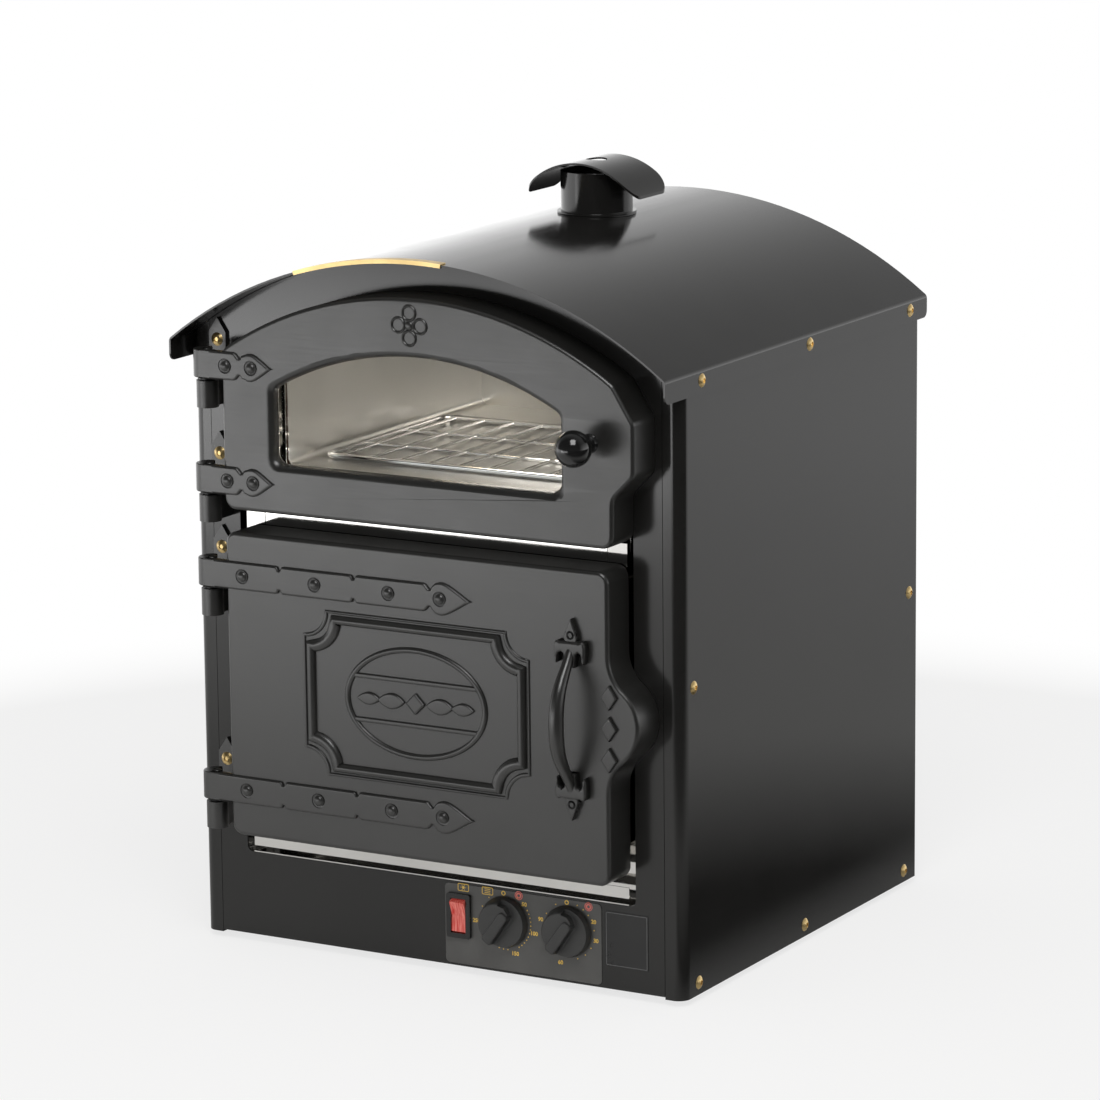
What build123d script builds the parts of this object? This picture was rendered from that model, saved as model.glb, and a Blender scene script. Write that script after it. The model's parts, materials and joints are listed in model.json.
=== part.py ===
"""Countertop baked potato oven: a black sheet-steel cabinet with an arched roof and a short flue,
a glazed display door above, an oven door below and a control panel at the foot.

X runs to the right, Y to the back and Z up, in millimetres. The origin is the bottom centre of the
whole object. Depths in this script are measured backwards from the fascia's front face.
"""

from build123d import *
from math import asin, cos, degrees, radians, sin, sqrt
import os

os.makedirs("parts", exist_ok=True)

# ------------------------------------------------------------------ driving dimensions
body_width = 450.0
body_depth = 420.0
sheet = 1.5
liner_sheet = 1.0
fit_gap = 0.3
seam_gap = 0.4

side_bottom_z = 5.0
fascia_bottom_z = 7.0
pan_floor_z = 9.0
pan_flange = 20.0

# Roof
roof_crown_z = 584.0
roof_eave_z = 506.0
roof_flap_z = 488.0
roof_front_overhang = 30.0
roof_rear_overhang = 12.0
roof_side_gap = 0.5
flap_corner_r = 6.0
roof_bend_r = 5.0

# Side panels
front_return = 17.0
front_corner_r = 10.0
rear_return = 16.0
vent_width = 3.6
hem_depth = 12.0
post_leg = 22.0

# Fascia opening and the polished surround behind it
opening_margin = 43.0
opening_bottom_z = 77.6
surround_depth = 20.0
surround_flange = 10.0
mouth_margin = 78.0

# Doors: the face outlines stand door_proud in front of the fascia
door_proud = 35.0
door_rear_gap = 0.8
door_left_margin = 51.0
door_edge_r = 4.0
door_wall = 6.0
plug_inset = 15.0
plug_depth = 16.0
seal_inset = 17.0
seal_width = 7.0
mouth_inset = 27.0

lower_door_right_margin = 47.0
lower_door_bottom_z = 101.0
lower_door_top_z = 353.5
lower_lobe_z = 231.0
lower_lobe_reach = 26.5
lower_lobe_half = 28.0
lower_face_wall = 6.0

upper_door_right_margin = 42.0
upper_door_bottom_z = 371.5
upper_arch_crown_z = 556.0
upper_arch_r = 320.0
upper_face_wall = 8.0
upper_lobe_reach = 18.8
upper_lobe_low_z = 431.0
upper_lobe_high_z = 473.0
upper_lobe_foot = 20.0
opening_arch_inset = 9.0

window_margin = 94.25
window_bottom_z = 412.0
window_crown_z = 507.6
window_arch_r = 264.0
window_bevel = 6.0
window_corner_r = 9.0
glass_thick = 4.0
glass_lap = 10.0

# Hinges
hinge_overhang = 19.0
hinge_depth = -26.5
knuckle_r = 9.0
knuckle_height = 22.0
roll_r = 11.0
strap_height = 23.0
strap_raise = 2.5
pin_r = 4.0
pin_clearance = 0.06
collar_r = 6.5
collar_height = 3.0
bracket_offset = 5.3
bracket_width = 16.0
bracket_thick = 3.0
bracket_screw_rise = 29.0
bracket_tip_rise = 47.0
upper_strap_zs = (489.0, 395.5)
lower_strap_zs = (318.0, 140.0)
upper_strap_spear = 29.0
upper_strap_tip = 48.5
lower_strap_spear = 204.0
lower_strap_tip = 230.5
lower_strap_notches = (51.5, 121.5)
upper_rivets = (5.0, 28.5)
lower_rivets = (17.0, 85.5, 154.5, 202.0)
rivet_r = 4.3
rivet_height = 2.0

# Ornament on the doors
cartouche_offset = 1.5
cartouche_z = 230.0
cartouche_margin = 73.5
cartouche_height = 132.0
cartouche_scoop = 22.0
cartouche_band = 9.0
cartouche_raise = 3.2
oval_half_width = 66.0
oval_half_height = 45.8
oval_band = 3.2
oval_bar_rise = 18.0
oval_raise = 1.8
rosette_z = 534.0
rosette_r = 7.0

# Knob and handle
ball_inset = 20.0
ball_z = 454.0
ball_r = 14.5
ball_standoff = 25.0
handle_inset = 30.5
handle_z = 234.0
handle_screw_rise = 68.0
handle_base_rise = 54.0
handle_reach = 35.0
grip_r = 5.5
handle_plate = 4.0

# Controls
label_margin = 74.0
label_width = 144.0
label_bottom_z = 9.0
label_top_z = 75.5
label_thick = 0.6
switch_inset = 13.5
switch_z = 49.5
switch_width = 22.0
switch_height = 37.0
rocker_width = 13.0
rocker_height = 28.0
rocker_pivot_depth = 1.0
rocker_tilt = 8.0
knob_z = 50.0
thermostat_inset = 56.0
timer_inset = 114.2
knob_r = 21.0
knob_depth = 15.0
plate_gap = 3.5
plate_width = 38.5
plate_low_z = 26.0
plate_height = 45.0

# Flue
flue_r = 30.0
flue_wall = 1.2
flue_top_z = 619.0
cowl_half = 52.0
cowl_edge_z = 602.0
cowl_crown_z = 628.0
cowl_length = 66.0
cowl_corner_r = 14.0
cowl_hole_r = 9.0

# Oven chamber
oven_floor_z = 128.0
oven_ceiling_z = 326.0
oven_rear_space = 50.0
fan_z = 227.0
insulation_thick = 25.0
insulation_margin = 51.0
lower_rack_rise = 48.0
upper_rack_rise = 122.0
rack_travel = 18.0
wire_r = 1.5
frame_wire_r = 2.5

# Display chamber
display_floor_z = 400.0
display_rear_space = 90.0
duct_r = 18.0
duct_rear_space = 40.0
flue_rear_space = 58.0
element_r = 84.0
element_wire_r = 4.0
terminal_r = 3.2
guard_space = 36.0
element_space = 18.0
fan_space = 27.0

# Fasteners
screw_head_r = 5.5
screw_head_height = 2.4
shank_r = 1.95
catch_inset = 52.5
catch_width = 7.5
hole_clearance = 0.05

# ------------------------------------------------------------------ derived values
body_half = body_width / 2
opening_half = body_half - opening_margin
mouth_half = body_half - mouth_margin
door_left_x = door_left_margin - body_half
lower_door_right_x = body_half - lower_door_right_margin
upper_door_right_x = body_half - upper_door_right_margin
upper_lobe_x = upper_door_right_x + upper_lobe_reach
window_half = body_half - window_margin
insulation_half = body_half - insulation_margin
hinge_x = door_left_x - hinge_overhang
bracket_x = hinge_x - bracket_offset
catch_near_x = body_half - catch_inset
catch_far_x = catch_near_x + catch_width
upper_strap_spear_x = door_left_x + upper_strap_spear
upper_strap_tip_x = door_left_x + upper_strap_tip
lower_strap_spear_x = door_left_x + lower_strap_spear
lower_strap_tip_x = door_left_x + lower_strap_tip
upper_rivet_xs = [door_left_x + x for x in upper_rivets]
lower_rivet_xs = [door_left_x + x for x in lower_rivets]
notch_xs = [door_left_x + x for x in lower_strap_notches]
cartouche_x = (door_left_x + lower_door_right_x) / 2 + cartouche_offset
cartouche_width = lower_door_right_x - door_left_x - 2 * cartouche_margin
ball_x = upper_door_right_x - ball_inset
handle_x = lower_door_right_x - handle_inset
label_right_x = body_half - label_margin
label_left_x = label_right_x - label_width
switch_x = label_left_x + switch_inset
thermostat_x = label_left_x + thermostat_inset
timer_x = label_left_x + timer_inset
plate_left_x = label_right_x + plate_gap
oven_back_depth = body_depth - oven_rear_space
display_back_depth = body_depth - display_rear_space
duct_depth = display_back_depth - duct_rear_space
flue_depth = display_back_depth - flue_rear_space
guard_depth = oven_back_depth - guard_space
element_depth = oven_back_depth - element_space
fan_front = oven_back_depth - fan_space
rack_zs = (oven_floor_z + lower_rack_rise, oven_floor_z + upper_rack_rise)
handle_front = door_proud + handle_reach + grip_r
body_rear = body_depth + roof_rear_overhang
fascia_y = -(body_rear - handle_front) / 2
roof_half = body_width / 2 + roof_side_gap + sheet
roof_rise = roof_crown_z - roof_eave_z
roof_r = (roof_half**2 + roof_rise**2) / (2 * roof_rise)
roof_centre_z = roof_crown_z - roof_r
fascia_half = body_width / 2 - front_return - seam_gap
upper_door_x = (door_left_x + upper_door_right_x) / 2
upper_arch_centre_z = upper_arch_crown_z - upper_arch_r
liner_front = surround_depth + liner_sheet + 0.1
casing_inner = body_width / 2 - sheet
pan_half = casing_inner - fit_gap
pan_rear = body_depth - 2 * sheet - fit_gap
flap_screws = [(depth, roof_flap_z + 10) for depth in (30, body_depth / 2 + 5, body_depth - 20)]
mid_screws = [(18, body_depth * 0.61), (body_depth - 16, body_depth * 0.61)]
foot_screws = [(depth, 15) for depth in (25, body_depth / 2, body_depth - 24)]
post_depths = (14.0, body_depth - 28.0)
edge_screw_x = body_half - 11
edge_screw_zs = (60, body_depth * 0.61, roof_flap_z - 48)
foot_screw_x = body_half - 125
back_screw_sites = [(x, z) for x in (-edge_screw_x, edge_screw_x) for z in edge_screw_zs]
back_screw_sites += [(-foot_screw_x, 20), (foot_screw_x, 20)]


# ------------------------------------------------------------------ planes and shared outlines
def facing(depth):
    """Plane that looks to the front, depth behind the fascia: local axes are X and Z."""
    return Plane(origin=(0, fascia_y + depth, 0), x_dir=(1, 0, 0), z_dir=(0, -1, 0))


def sideways(x):
    """Plane that looks to the right at x: local axes are depth and Z."""
    return Plane(origin=(x, fascia_y, 0), x_dir=(0, 1, 0), z_dir=(1, 0, 0))


def level(z):
    """Horizontal plane at z: local axes are X and depth."""
    return Plane(origin=(0, fascia_y, z))


def rectangle(plane, x0, x1, v0, v1, corner=0.0):
    """Rectangle between two pairs of local coordinates, with rounded corners if asked."""
    with BuildSketch(plane) as shape:
        with Locations(((x0 + x1) / 2, (v0 + v1) / 2)):
            if corner:
                RectangleRounded(x1 - x0, v1 - v0, corner)
            else:
                Rectangle(x1 - x0, v1 - v0)
    return shape.sketch


def discs(plane, sites, radius):
    """Circles of one radius at the local sites."""
    with BuildSketch(plane) as shape:
        with Locations(*sites):
            Circle(radius)
    return shape.sketch


def under_roof(plane, gap, half, bottom):
    """Region below the roof's inner face, gap away from it, out to half each side."""
    radius = roof_r - sheet - gap
    with BuildSketch(plane) as shape:
        with Locations((0, roof_centre_z)):
            Circle(radius)
        with Locations((0, bottom + radius)):
            Rectangle(2 * half, 2 * radius, mode=Mode.INTERSECT)
    return shape.sketch


def nearest(shape, x, z):
    """The vertex of a sketch that lies closest to a local point."""
    return shape.vertices().sort_by_distance((x, z))[0]


def arched(plane, x0, x1, bottom, centre_x, centre_z, radius, corner):
    """Rectangle with an arched top, its lower and upper corners rounded by corner."""
    with BuildSketch(plane) as shape:
        with Locations((centre_x, centre_z)):
            Circle(radius)
        with Locations(((x0 + x1) / 2, bottom + radius)):
            Rectangle(x1 - x0, 2 * radius, mode=Mode.INTERSECT)
        if corner:
            fillet(shape.vertices(), corner)
    return shape.sketch


def upper_outline(plane, grow=0.0, corner=9.0):
    """The upper door's arched outline without its lobe, offset outwards by grow."""
    return arched(
        plane, door_left_x - grow, upper_door_right_x + grow, upper_door_bottom_z - grow,
        upper_door_x, upper_arch_centre_z, upper_arch_r + grow, corner,
    )


def lower_outline(plane, grow=0.0, corner=10.0):
    """The lower door's plain rectangle, offset outwards by grow."""
    return rectangle(
        plane, door_left_x - grow, lower_door_right_x + grow,
        lower_door_bottom_z - grow, lower_door_top_z + grow, corner,
    )


def window(plane, grow=0.0):
    """The display window's outline, offset outwards by grow."""
    return arched(
        plane, upper_door_x - window_half - grow, upper_door_x + window_half + grow,
        window_bottom_z - grow, upper_door_x, window_crown_z - window_arch_r,
        window_arch_r + grow, window_corner_r + grow / 2,
    )


def fascia_opening(plane, grow=0.0):
    """The one opening behind both doors: straight sides and an arched top."""
    return arched(
        plane, -opening_half - grow, opening_half + grow, opening_bottom_z - grow,
        upper_door_x, upper_arch_centre_z, upper_arch_r - opening_arch_inset + grow, 5.0,
    )


def upper_mouth(plane, grow=0.0):
    """Mouth and section of the display chamber."""
    return arched(
        plane, -mouth_half - grow, mouth_half + grow, display_floor_z - grow,
        upper_door_x, upper_arch_centre_z, upper_arch_r - mouth_inset - 1 + grow, 6.0,
    )


def lower_mouth(plane, grow=0.0, corner=6.0):
    """Mouth and section of the oven chamber."""
    return rectangle(
        plane, -mouth_half - grow, mouth_half + grow, oven_floor_z - grow, oven_ceiling_z + grow, corner
    )


def finish(part, name):
    """Labels a finished piece and writes it."""
    part.label = name
    export_step(part, f"parts/{name}.step")


def screw_body(shank_length):
    """One domed socket screw: its head stands on the local XY plane and its shank goes below."""
    dome_r = (screw_head_r**2 + screw_head_height**2) / (2 * screw_head_height)
    half_turn = asin(screw_head_r / dome_r) / 2
    dome_middle = (dome_r * sin(half_turn), screw_head_height - dome_r * (1 - cos(half_turn)))
    with BuildPart() as screw:
        with BuildSketch(Plane.XZ):
            with BuildLine():
                Polyline((0, -shank_length), (shank_r, -shank_length), (shank_r, 0), (screw_head_r, 0))
                ThreePointArc((screw_head_r, 0), dome_middle, (0, screw_head_height))
                Line((0, screw_head_height), (0, -shank_length))
            make_face()
        revolve(axis=Axis.Z)
        with BuildSketch(Plane.XY.offset(screw_head_height)):
            RegularPolygon(2.2, 6)
        extrude(amount=-1.3, mode=Mode.SUBTRACT)
    return screw.part


def screws(name, sites, shank_length):
    """A group of equal screws: each site is a plane whose normal points out along the head."""
    with BuildPart() as group:
        with Locations(*sites):
            add(screw_body(shank_length))
    finish(group.part, name)


def left_and_right(sites):
    """Side-facing planes at each (depth, z) on both sides, at the half width in the third place."""
    planes = []
    for depth, z, half in sites:
        planes.append(Plane(origin=(half, fascia_y + depth, z), x_dir=(0, 1, 0), z_dir=(1, 0, 0)))
        planes.append(Plane(origin=(-half, fascia_y + depth, z), x_dir=(0, -1, 0), z_dir=(-1, 0, 0)))
    return planes


# ------------------------------------------------------------------ cabinet shell
with BuildPart() as base_pan:
    extrude(rectangle(level(pan_floor_z), -pan_half, pan_half, post_depths[0], pan_rear), amount=sheet)
    extrude(rectangle(level(pan_floor_z), -fascia_half, fascia_half, pan_rear, pan_rear + sheet),
            amount=sheet)
    extrude(rectangle(level(pan_floor_z), -fascia_half + 2 * sheet, fascia_half - 2 * sheet,
                      sheet + fit_gap, post_depths[0]), amount=sheet)
    extrude(rectangle(level(pan_floor_z), -fascia_half + 2 * sheet, fascia_half - 2 * sheet,
                      sheet + fit_gap, 2 * sheet + fit_gap), amount=pan_flange)
    extrude(rectangle(level(pan_floor_z), -fascia_half, fascia_half, pan_rear, pan_rear + sheet),
            amount=pan_flange)
    for side in (-1, 1):
        extrude(rectangle(level(pan_floor_z), *sorted((side * pan_half, side * (pan_half - sheet))),
                          post_depths[0], pan_rear), amount=pan_flange)
    extrude(discs(sideways(-body_width), foot_screws, shank_r + hole_clearance), amount=2 * body_width,
            mode=Mode.SUBTRACT)
    foot_sites = [(x, depth) for x in (35 - body_half, body_half - 35) for depth in (34, body_depth - 34)]
    extrude(discs(level(0), foot_sites, 2.5 + hole_clearance), amount=30, mode=Mode.SUBTRACT)
    vent_sites = [(x, body_depth / 2 + y) for x in range(-120, 121, 40) for y in (-90, -10, 70)]
    extrude(discs(level(0), vent_sites, 4), amount=30, mode=Mode.SUBTRACT)
    extrude(discs(facing(body_depth + 10), [s for s in back_screw_sites if s[1] == 20],
                  shank_r + hole_clearance), amount=30, mode=Mode.SUBTRACT)
finish(base_pan.part, "base_pan")

with BuildPart() as feet:
    extrude(discs(level(0), foot_sites, 12), amount=pan_floor_z)
    chamfer(feet.edges().group_by(Axis.Z)[0], 1)
    extrude(discs(level(pan_floor_z), foot_sites, 2.5), amount=6)
finish(feet.part, "feet")

with BuildPart() as right_side_panel:
    outer = body_width / 2
    with BuildSketch(level(side_bottom_z)) as section:
        with BuildLine():
            Polyline(
                (outer - front_return, hem_depth), (outer - front_return, 0), (outer, 0), (outer, body_depth),
                (outer - rear_return, body_depth), (outer - rear_return, body_depth - sheet),
                (outer - sheet, body_depth - sheet), (outer - sheet, sheet),
                (outer - front_return + sheet, sheet), (outer - front_return + sheet, hem_depth),
                close=True,
            )
        make_face()
        fillet(nearest(section, outer, 0), front_corner_r)
        fillet(nearest(section, outer - sheet, sheet), front_corner_r - sheet)
        fillet(nearest(section, outer, body_depth), 3)
        fillet(nearest(section, outer - sheet, body_depth - sheet), 3 - sheet)
    extrude(amount=roof_crown_z)
    extrude(under_roof(facing(-1), fit_gap, outer + 1, 0), amount=-body_depth - 2, mode=Mode.INTERSECT)
    for sites in (flap_screws, mid_screws, foot_screws):
        extrude(discs(sideways(outer - 10), sites, shank_r + hole_clearance), amount=20, mode=Mode.SUBTRACT)
    extrude(discs(facing(body_depth + 5), [s for s in back_screw_sites if s[0] == edge_screw_x],
                  shank_r + hole_clearance), amount=20, mode=Mode.SUBTRACT)
finish(right_side_panel.part, "right_side_panel")

with BuildPart() as left_side_panel:
    add(right_side_panel.part)
    mirror(about=Plane.YZ, mode=Mode.REPLACE)
finish(left_side_panel.part, "left_side_panel")

with BuildPart() as chassis_posts:
    for side in (-1, 1):
        for depth in post_depths:
            leg = side * (pan_half - sheet - 0.1)
            web = depth if depth < body_depth / 2 else depth + post_leg - sheet
            base = level(pan_floor_z + sheet)
            height = roof_flap_z + 14 - pan_floor_z - sheet
            extrude(rectangle(base, *sorted((leg, leg - side * sheet)), depth + 0.2, depth + post_leg),
                    amount=height)
            extrude(rectangle(base, *sorted((leg, leg - side * post_leg)), web + 0.2, web + sheet),
                    amount=height)
    for sites in (flap_screws, mid_screws, foot_screws):
        extrude(discs(sideways(-body_width), sites, shank_r + hole_clearance), amount=2 * body_width,
                mode=Mode.SUBTRACT)
    extrude(discs(facing(body_depth + 5), [s for s in back_screw_sites if s[1] > 20],
                  shank_r + hole_clearance), amount=30, mode=Mode.SUBTRACT)
finish(chassis_posts.part, "chassis_posts")

bracket_sites = []
for strap_z in upper_strap_zs + lower_strap_zs:
    bracket_sites.append(strap_z - strap_height / 2 - collar_height)

with BuildPart() as fascia:
    extrude(under_roof(facing(0), fit_gap, fascia_half, fascia_bottom_z), amount=-hem_depth)
    extrude(rectangle(facing(sheet), -fascia_half + sheet, fascia_half - sheet, 0, roof_crown_z),
            amount=-hem_depth, mode=Mode.SUBTRACT)
    extrude(fascia_opening(facing(-1)), amount=-sheet - 2, mode=Mode.SUBTRACT)
    extrude(discs(facing(-1), [(bracket_x, z + bracket_screw_rise) for z in bracket_sites],
                  shank_r + hole_clearance), amount=-10, mode=Mode.SUBTRACT)
    extrude(discs(facing(-1), [(thermostat_x, knob_z), (timer_x, knob_z)], 5.2), amount=-10,
            mode=Mode.SUBTRACT)
    extrude(rectangle(facing(-1), switch_x - switch_width / 2 + 1.5, switch_x + switch_width / 2 - 1.5,
                      switch_z - switch_height / 2 + 2, switch_z + switch_height / 2 - 2), amount=-10,
            mode=Mode.SUBTRACT)
finish(fascia.part, "fascia")

with BuildPart() as back_panel:
    back_half = body_width / 2 - 3
    extrude(under_roof(facing(body_depth + fit_gap), fit_gap, back_half, side_bottom_z + 3), amount=-sheet)
    for z in (60, fan_z, display_floor_z):
        for x in range(-80, 81, 20):
            extrude(rectangle(facing(body_depth - 5), x - vent_width / 2, x + vent_width / 2, z - 25, z + 25),
                    amount=-10, mode=Mode.SUBTRACT)
    extrude(discs(facing(body_depth - 5), back_screw_sites, shank_r + hole_clearance), amount=-10,
            mode=Mode.SUBTRACT)
    gland_x, gland_z = body_half - 65, 45
    extrude(discs(facing(body_depth - 5), [(gland_x, gland_z)], 8.1), amount=-10, mode=Mode.SUBTRACT)
finish(back_panel.part, "back_panel")

with BuildPart() as roof_sheet:
    inner_r = roof_r - sheet
    inner_half = roof_half - sheet
    inner_eave_z = roof_centre_z + sqrt(inner_r**2 - inner_half**2)
    with BuildSketch(facing(-roof_front_overhang)) as section:
        with BuildLine():
            ThreePointArc((-roof_half, roof_eave_z), (0, roof_crown_z), (roof_half, roof_eave_z))
            Polyline((roof_half, roof_eave_z), (roof_half, roof_flap_z), (inner_half, roof_flap_z),
                     (inner_half, inner_eave_z))
            ThreePointArc((inner_half, inner_eave_z), (0, roof_crown_z - sheet), (-inner_half, inner_eave_z))
            Polyline((-inner_half, inner_eave_z), (-inner_half, roof_flap_z), (-roof_half, roof_flap_z),
                     (-roof_half, roof_eave_z))
        make_face()
        for side in (-1, 1):
            fillet(nearest(section, side * roof_half, roof_eave_z), roof_bend_r)
    extrude(amount=-(roof_front_overhang + body_rear))
    fillet(roof_sheet.edges().filter_by(Axis.X).group_by(Axis.Z)[0], flap_corner_r)
    extrude(discs(sideways(-body_width), flap_screws, shank_r + hole_clearance), amount=2 * body_width,
            mode=Mode.SUBTRACT)
    extrude(discs(level(roof_crown_z - 30), [(0, flue_depth)], flue_r + fit_gap), amount=60,
            mode=Mode.SUBTRACT)
finish(roof_sheet.part, "roof_sheet")

with BuildPart() as roof_edge_trim:
    trim_left_x, trim_right_x = -107.0, 29.0
    trim_gauge = 0.8
    trim_gap = 0.15

    def trim_sector(depth, outer_r, inner_r):
        """Part of a ring along the roof's edge, between the trim's two ends."""
        reach = 2 * roof_r
        with BuildSketch(facing(depth)) as sector:
            with Locations((0, roof_centre_z)):
                Circle(outer_r)
                Circle(inner_r, mode=Mode.SUBTRACT)
            with BuildLine():
                Polyline(
                    (0, roof_centre_z),
                    (trim_left_x / roof_r * reach,
                     roof_centre_z + reach * sqrt(1 - (trim_left_x / roof_r) ** 2)),
                    (trim_right_x / roof_r * reach,
                     roof_centre_z + reach * sqrt(1 - (trim_right_x / roof_r) ** 2)),
                    close=True,
                )
            make_face(mode=Mode.INTERSECT)
        return sector.sketch

    top = roof_r + trim_gap
    low = roof_r - sheet - trim_gap
    front = -roof_front_overhang - trim_gap
    extrude(trim_sector(front, top + trim_gauge, low - trim_gauge), amount=trim_gauge)
    extrude(trim_sector(front, top + trim_gauge, top), amount=-8)
    extrude(trim_sector(front, low, low - trim_gauge), amount=-8)
finish(roof_edge_trim.part, "roof_edge_trim")

with BuildPart() as flue_pipe:
    pipe_foot_z = upper_arch_crown_z - mouth_inset - 6
    extrude(discs(level(roof_crown_z - 8), [(0, flue_depth)], flue_r + 3), amount=9.5)
    with BuildSketch(facing(0)) as roof_round:
        with Locations((0, roof_centre_z)):
            Circle(roof_r + 0.1)
    extrude(roof_round.sketch, amount=-body_depth, mode=Mode.SUBTRACT)
    extrude(discs(level(pipe_foot_z), [(0, flue_depth)], flue_r), amount=flue_top_z - pipe_foot_z)
    extrude(discs(level(0), [(0, flue_depth)], flue_r - flue_wall), amount=2 * roof_crown_z,
            mode=Mode.SUBTRACT)
finish(flue_pipe.part, "flue_pipe")

with BuildPart() as flue_cowl:
    rise = cowl_crown_z - cowl_edge_z
    cowl_r = (cowl_half**2 + rise**2) / (2 * rise)
    with BuildSketch(facing(flue_depth - cowl_length / 2)) as section:
        with Locations((0, cowl_crown_z - cowl_r)):
            Circle(cowl_r)
            Circle(cowl_r - sheet, mode=Mode.SUBTRACT)
        with Locations((0, cowl_crown_z)):
            Rectangle(3 * cowl_r, 2 * cowl_r - 4, mode=Mode.INTERSECT)
    extrude(amount=-cowl_length)
    extrude(rectangle(level(cowl_edge_z - 5), -cowl_half, cowl_half, flue_depth - cowl_length / 2,
                      flue_depth + cowl_length / 2, cowl_corner_r), amount=60, mode=Mode.INTERSECT)
    extrude(discs(level(cowl_edge_z), [(0, flue_depth)], cowl_hole_r), amount=60, mode=Mode.SUBTRACT)
finish(flue_cowl.part, "flue_cowl")

side_sites = [(depth, z, body_width / 2) for depth, z in mid_screws + foot_screws]
side_sites += [(depth, z, roof_half) for depth, z in flap_screws]
screw_planes = left_and_right(side_sites)
for x, z in back_screw_sites:
    screw_planes.append(Plane(origin=(x, fascia_y + body_depth + fit_gap + sheet, z),
                              x_dir=(-1, 0, 0), z_dir=(0, 1, 0)))
for top in bracket_sites:
    screw_planes.append(Plane(origin=(bracket_x, fascia_y - bracket_thick, top + bracket_screw_rise),
                              x_dir=(1, 0, 0), z_dir=(0, -1, 0)))
screws("casing_screws", screw_planes, 10)

with BuildPart() as cable_gland:
    gland_face = body_depth + fit_gap + sheet
    extrude(discs(facing(gland_face), [(gland_x, gland_z)], 8), amount=14)
    with BuildSketch(facing(gland_face)) as flange:
        with Locations((gland_x, gland_z)):
            RegularPolygon(12, 6)
    extrude(flange.sketch, amount=-5)
    extrude(discs(facing(gland_face + 5), [(gland_x, gland_z)], 8.5), amount=-4)
    with BuildSketch(facing(gland_face - sheet - 0.1)) as lock_nut:
        with Locations((gland_x, gland_z)):
            RegularPolygon(12, 6)
    extrude(lock_nut.sketch, amount=4)
    extrude(discs(facing(gland_face + 20), [(gland_x, gland_z)], 4.5), amount=60, mode=Mode.SUBTRACT)
finish(cable_gland.part, "cable_gland")

# ------------------------------------------------------------------ polished surround and chambers
strip_gap = 0.1
with BuildPart() as door_surround:
    behind = sheet + strip_gap
    extrude(fascia_opening(facing(behind), liner_sheet + 0.2),
            amount=-(surround_depth + liner_sheet - behind))
    extrude(fascia_opening(facing(behind), surround_flange), amount=-liner_sheet)
    extrude(fascia_opening(facing(0), 0.2), amount=-2 * surround_depth, mode=Mode.SUBTRACT)
    back_plate = fascia_opening(facing(surround_depth), 0.2 - strip_gap)
    wide = body_width
    bands = (
        (-wide, wide, 0, oven_floor_z),
        (-wide, -mouth_half, oven_floor_z + strip_gap, oven_ceiling_z - strip_gap),
        (mouth_half, wide, oven_floor_z + strip_gap, oven_ceiling_z - strip_gap),
        (-wide, wide, oven_ceiling_z, display_floor_z - strip_gap),
        (-wide, wide, display_floor_z, roof_crown_z),
    )
    for band in bands:
        strip = back_plate & rectangle(facing(surround_depth), *band)
        if band[3] == roof_crown_z:
            strip -= upper_mouth(facing(surround_depth))
        extrude(strip, amount=-liner_sheet)
finish(door_surround.part, "door_surround")

rail_low_z = lower_door_top_z + 1.5
rail_high_z = upper_door_bottom_z - 1.5
with BuildPart() as cross_rail:
    rail_front = 0.8
    extrude(rectangle(facing(rail_front), -mouth_half - 11, mouth_half + 11, rail_low_z, rail_high_z, 1),
            amount=-(surround_depth - rail_front))
    extrude(rectangle(facing(rail_front + 1), -mouth_half - 10, mouth_half + 10, rail_low_z + 1,
                      rail_high_z - 1), amount=-surround_depth, mode=Mode.SUBTRACT)
finish(cross_rail.part, "cross_rail")

with BuildPart() as oven_liner:
    wall_x = mouth_half + liner_sheet
    lip_x = mouth_half + 9
    wall_low_z, wall_high_z = oven_floor_z - liner_sheet, oven_ceiling_z + liner_sheet
    for low, high in ((wall_low_z, oven_floor_z), (oven_ceiling_z, wall_high_z)):
        extrude(rectangle(facing(liner_front), -wall_x, wall_x, low, high),
                amount=-(oven_back_depth - liner_front))
    lips = ((oven_floor_z - 9, wall_low_z - strip_gap), (wall_high_z + strip_gap, oven_ceiling_z + 9))
    for low, high in lips:
        extrude(rectangle(facing(liner_front), -lip_x, lip_x, low, high), amount=-liner_sheet)
    for side in (-1, 1):
        extrude(rectangle(facing(liner_front), *sorted((side * mouth_half, side * wall_x)),
                          oven_floor_z + strip_gap, oven_ceiling_z - strip_gap),
                amount=-(oven_back_depth - liner_front))
        extrude(rectangle(facing(liner_front), *sorted((side * (wall_x + strip_gap), side * lip_x)),
                          wall_low_z, wall_high_z), amount=-liner_sheet)
    extrude(rectangle(facing(oven_back_depth + strip_gap), -wall_x, wall_x, wall_low_z, wall_high_z),
            amount=-liner_sheet)
    extrude(discs(facing(oven_back_depth - 5), [(0, fan_z)], 7), amount=-10, mode=Mode.SUBTRACT)
    terminal_sites = [(x, fan_z - sqrt(element_r**2 - x**2)) for x in (-20, 20)]
    extrude(discs(facing(oven_back_depth - 5), terminal_sites, terminal_r + fit_gap), amount=-10,
            mode=Mode.SUBTRACT)
    extrude(discs(level(oven_ceiling_z - 5), [(0, duct_depth)], duct_r + fit_gap), amount=10,
            mode=Mode.SUBTRACT)
finish(oven_liner.part, "oven_liner")

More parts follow.
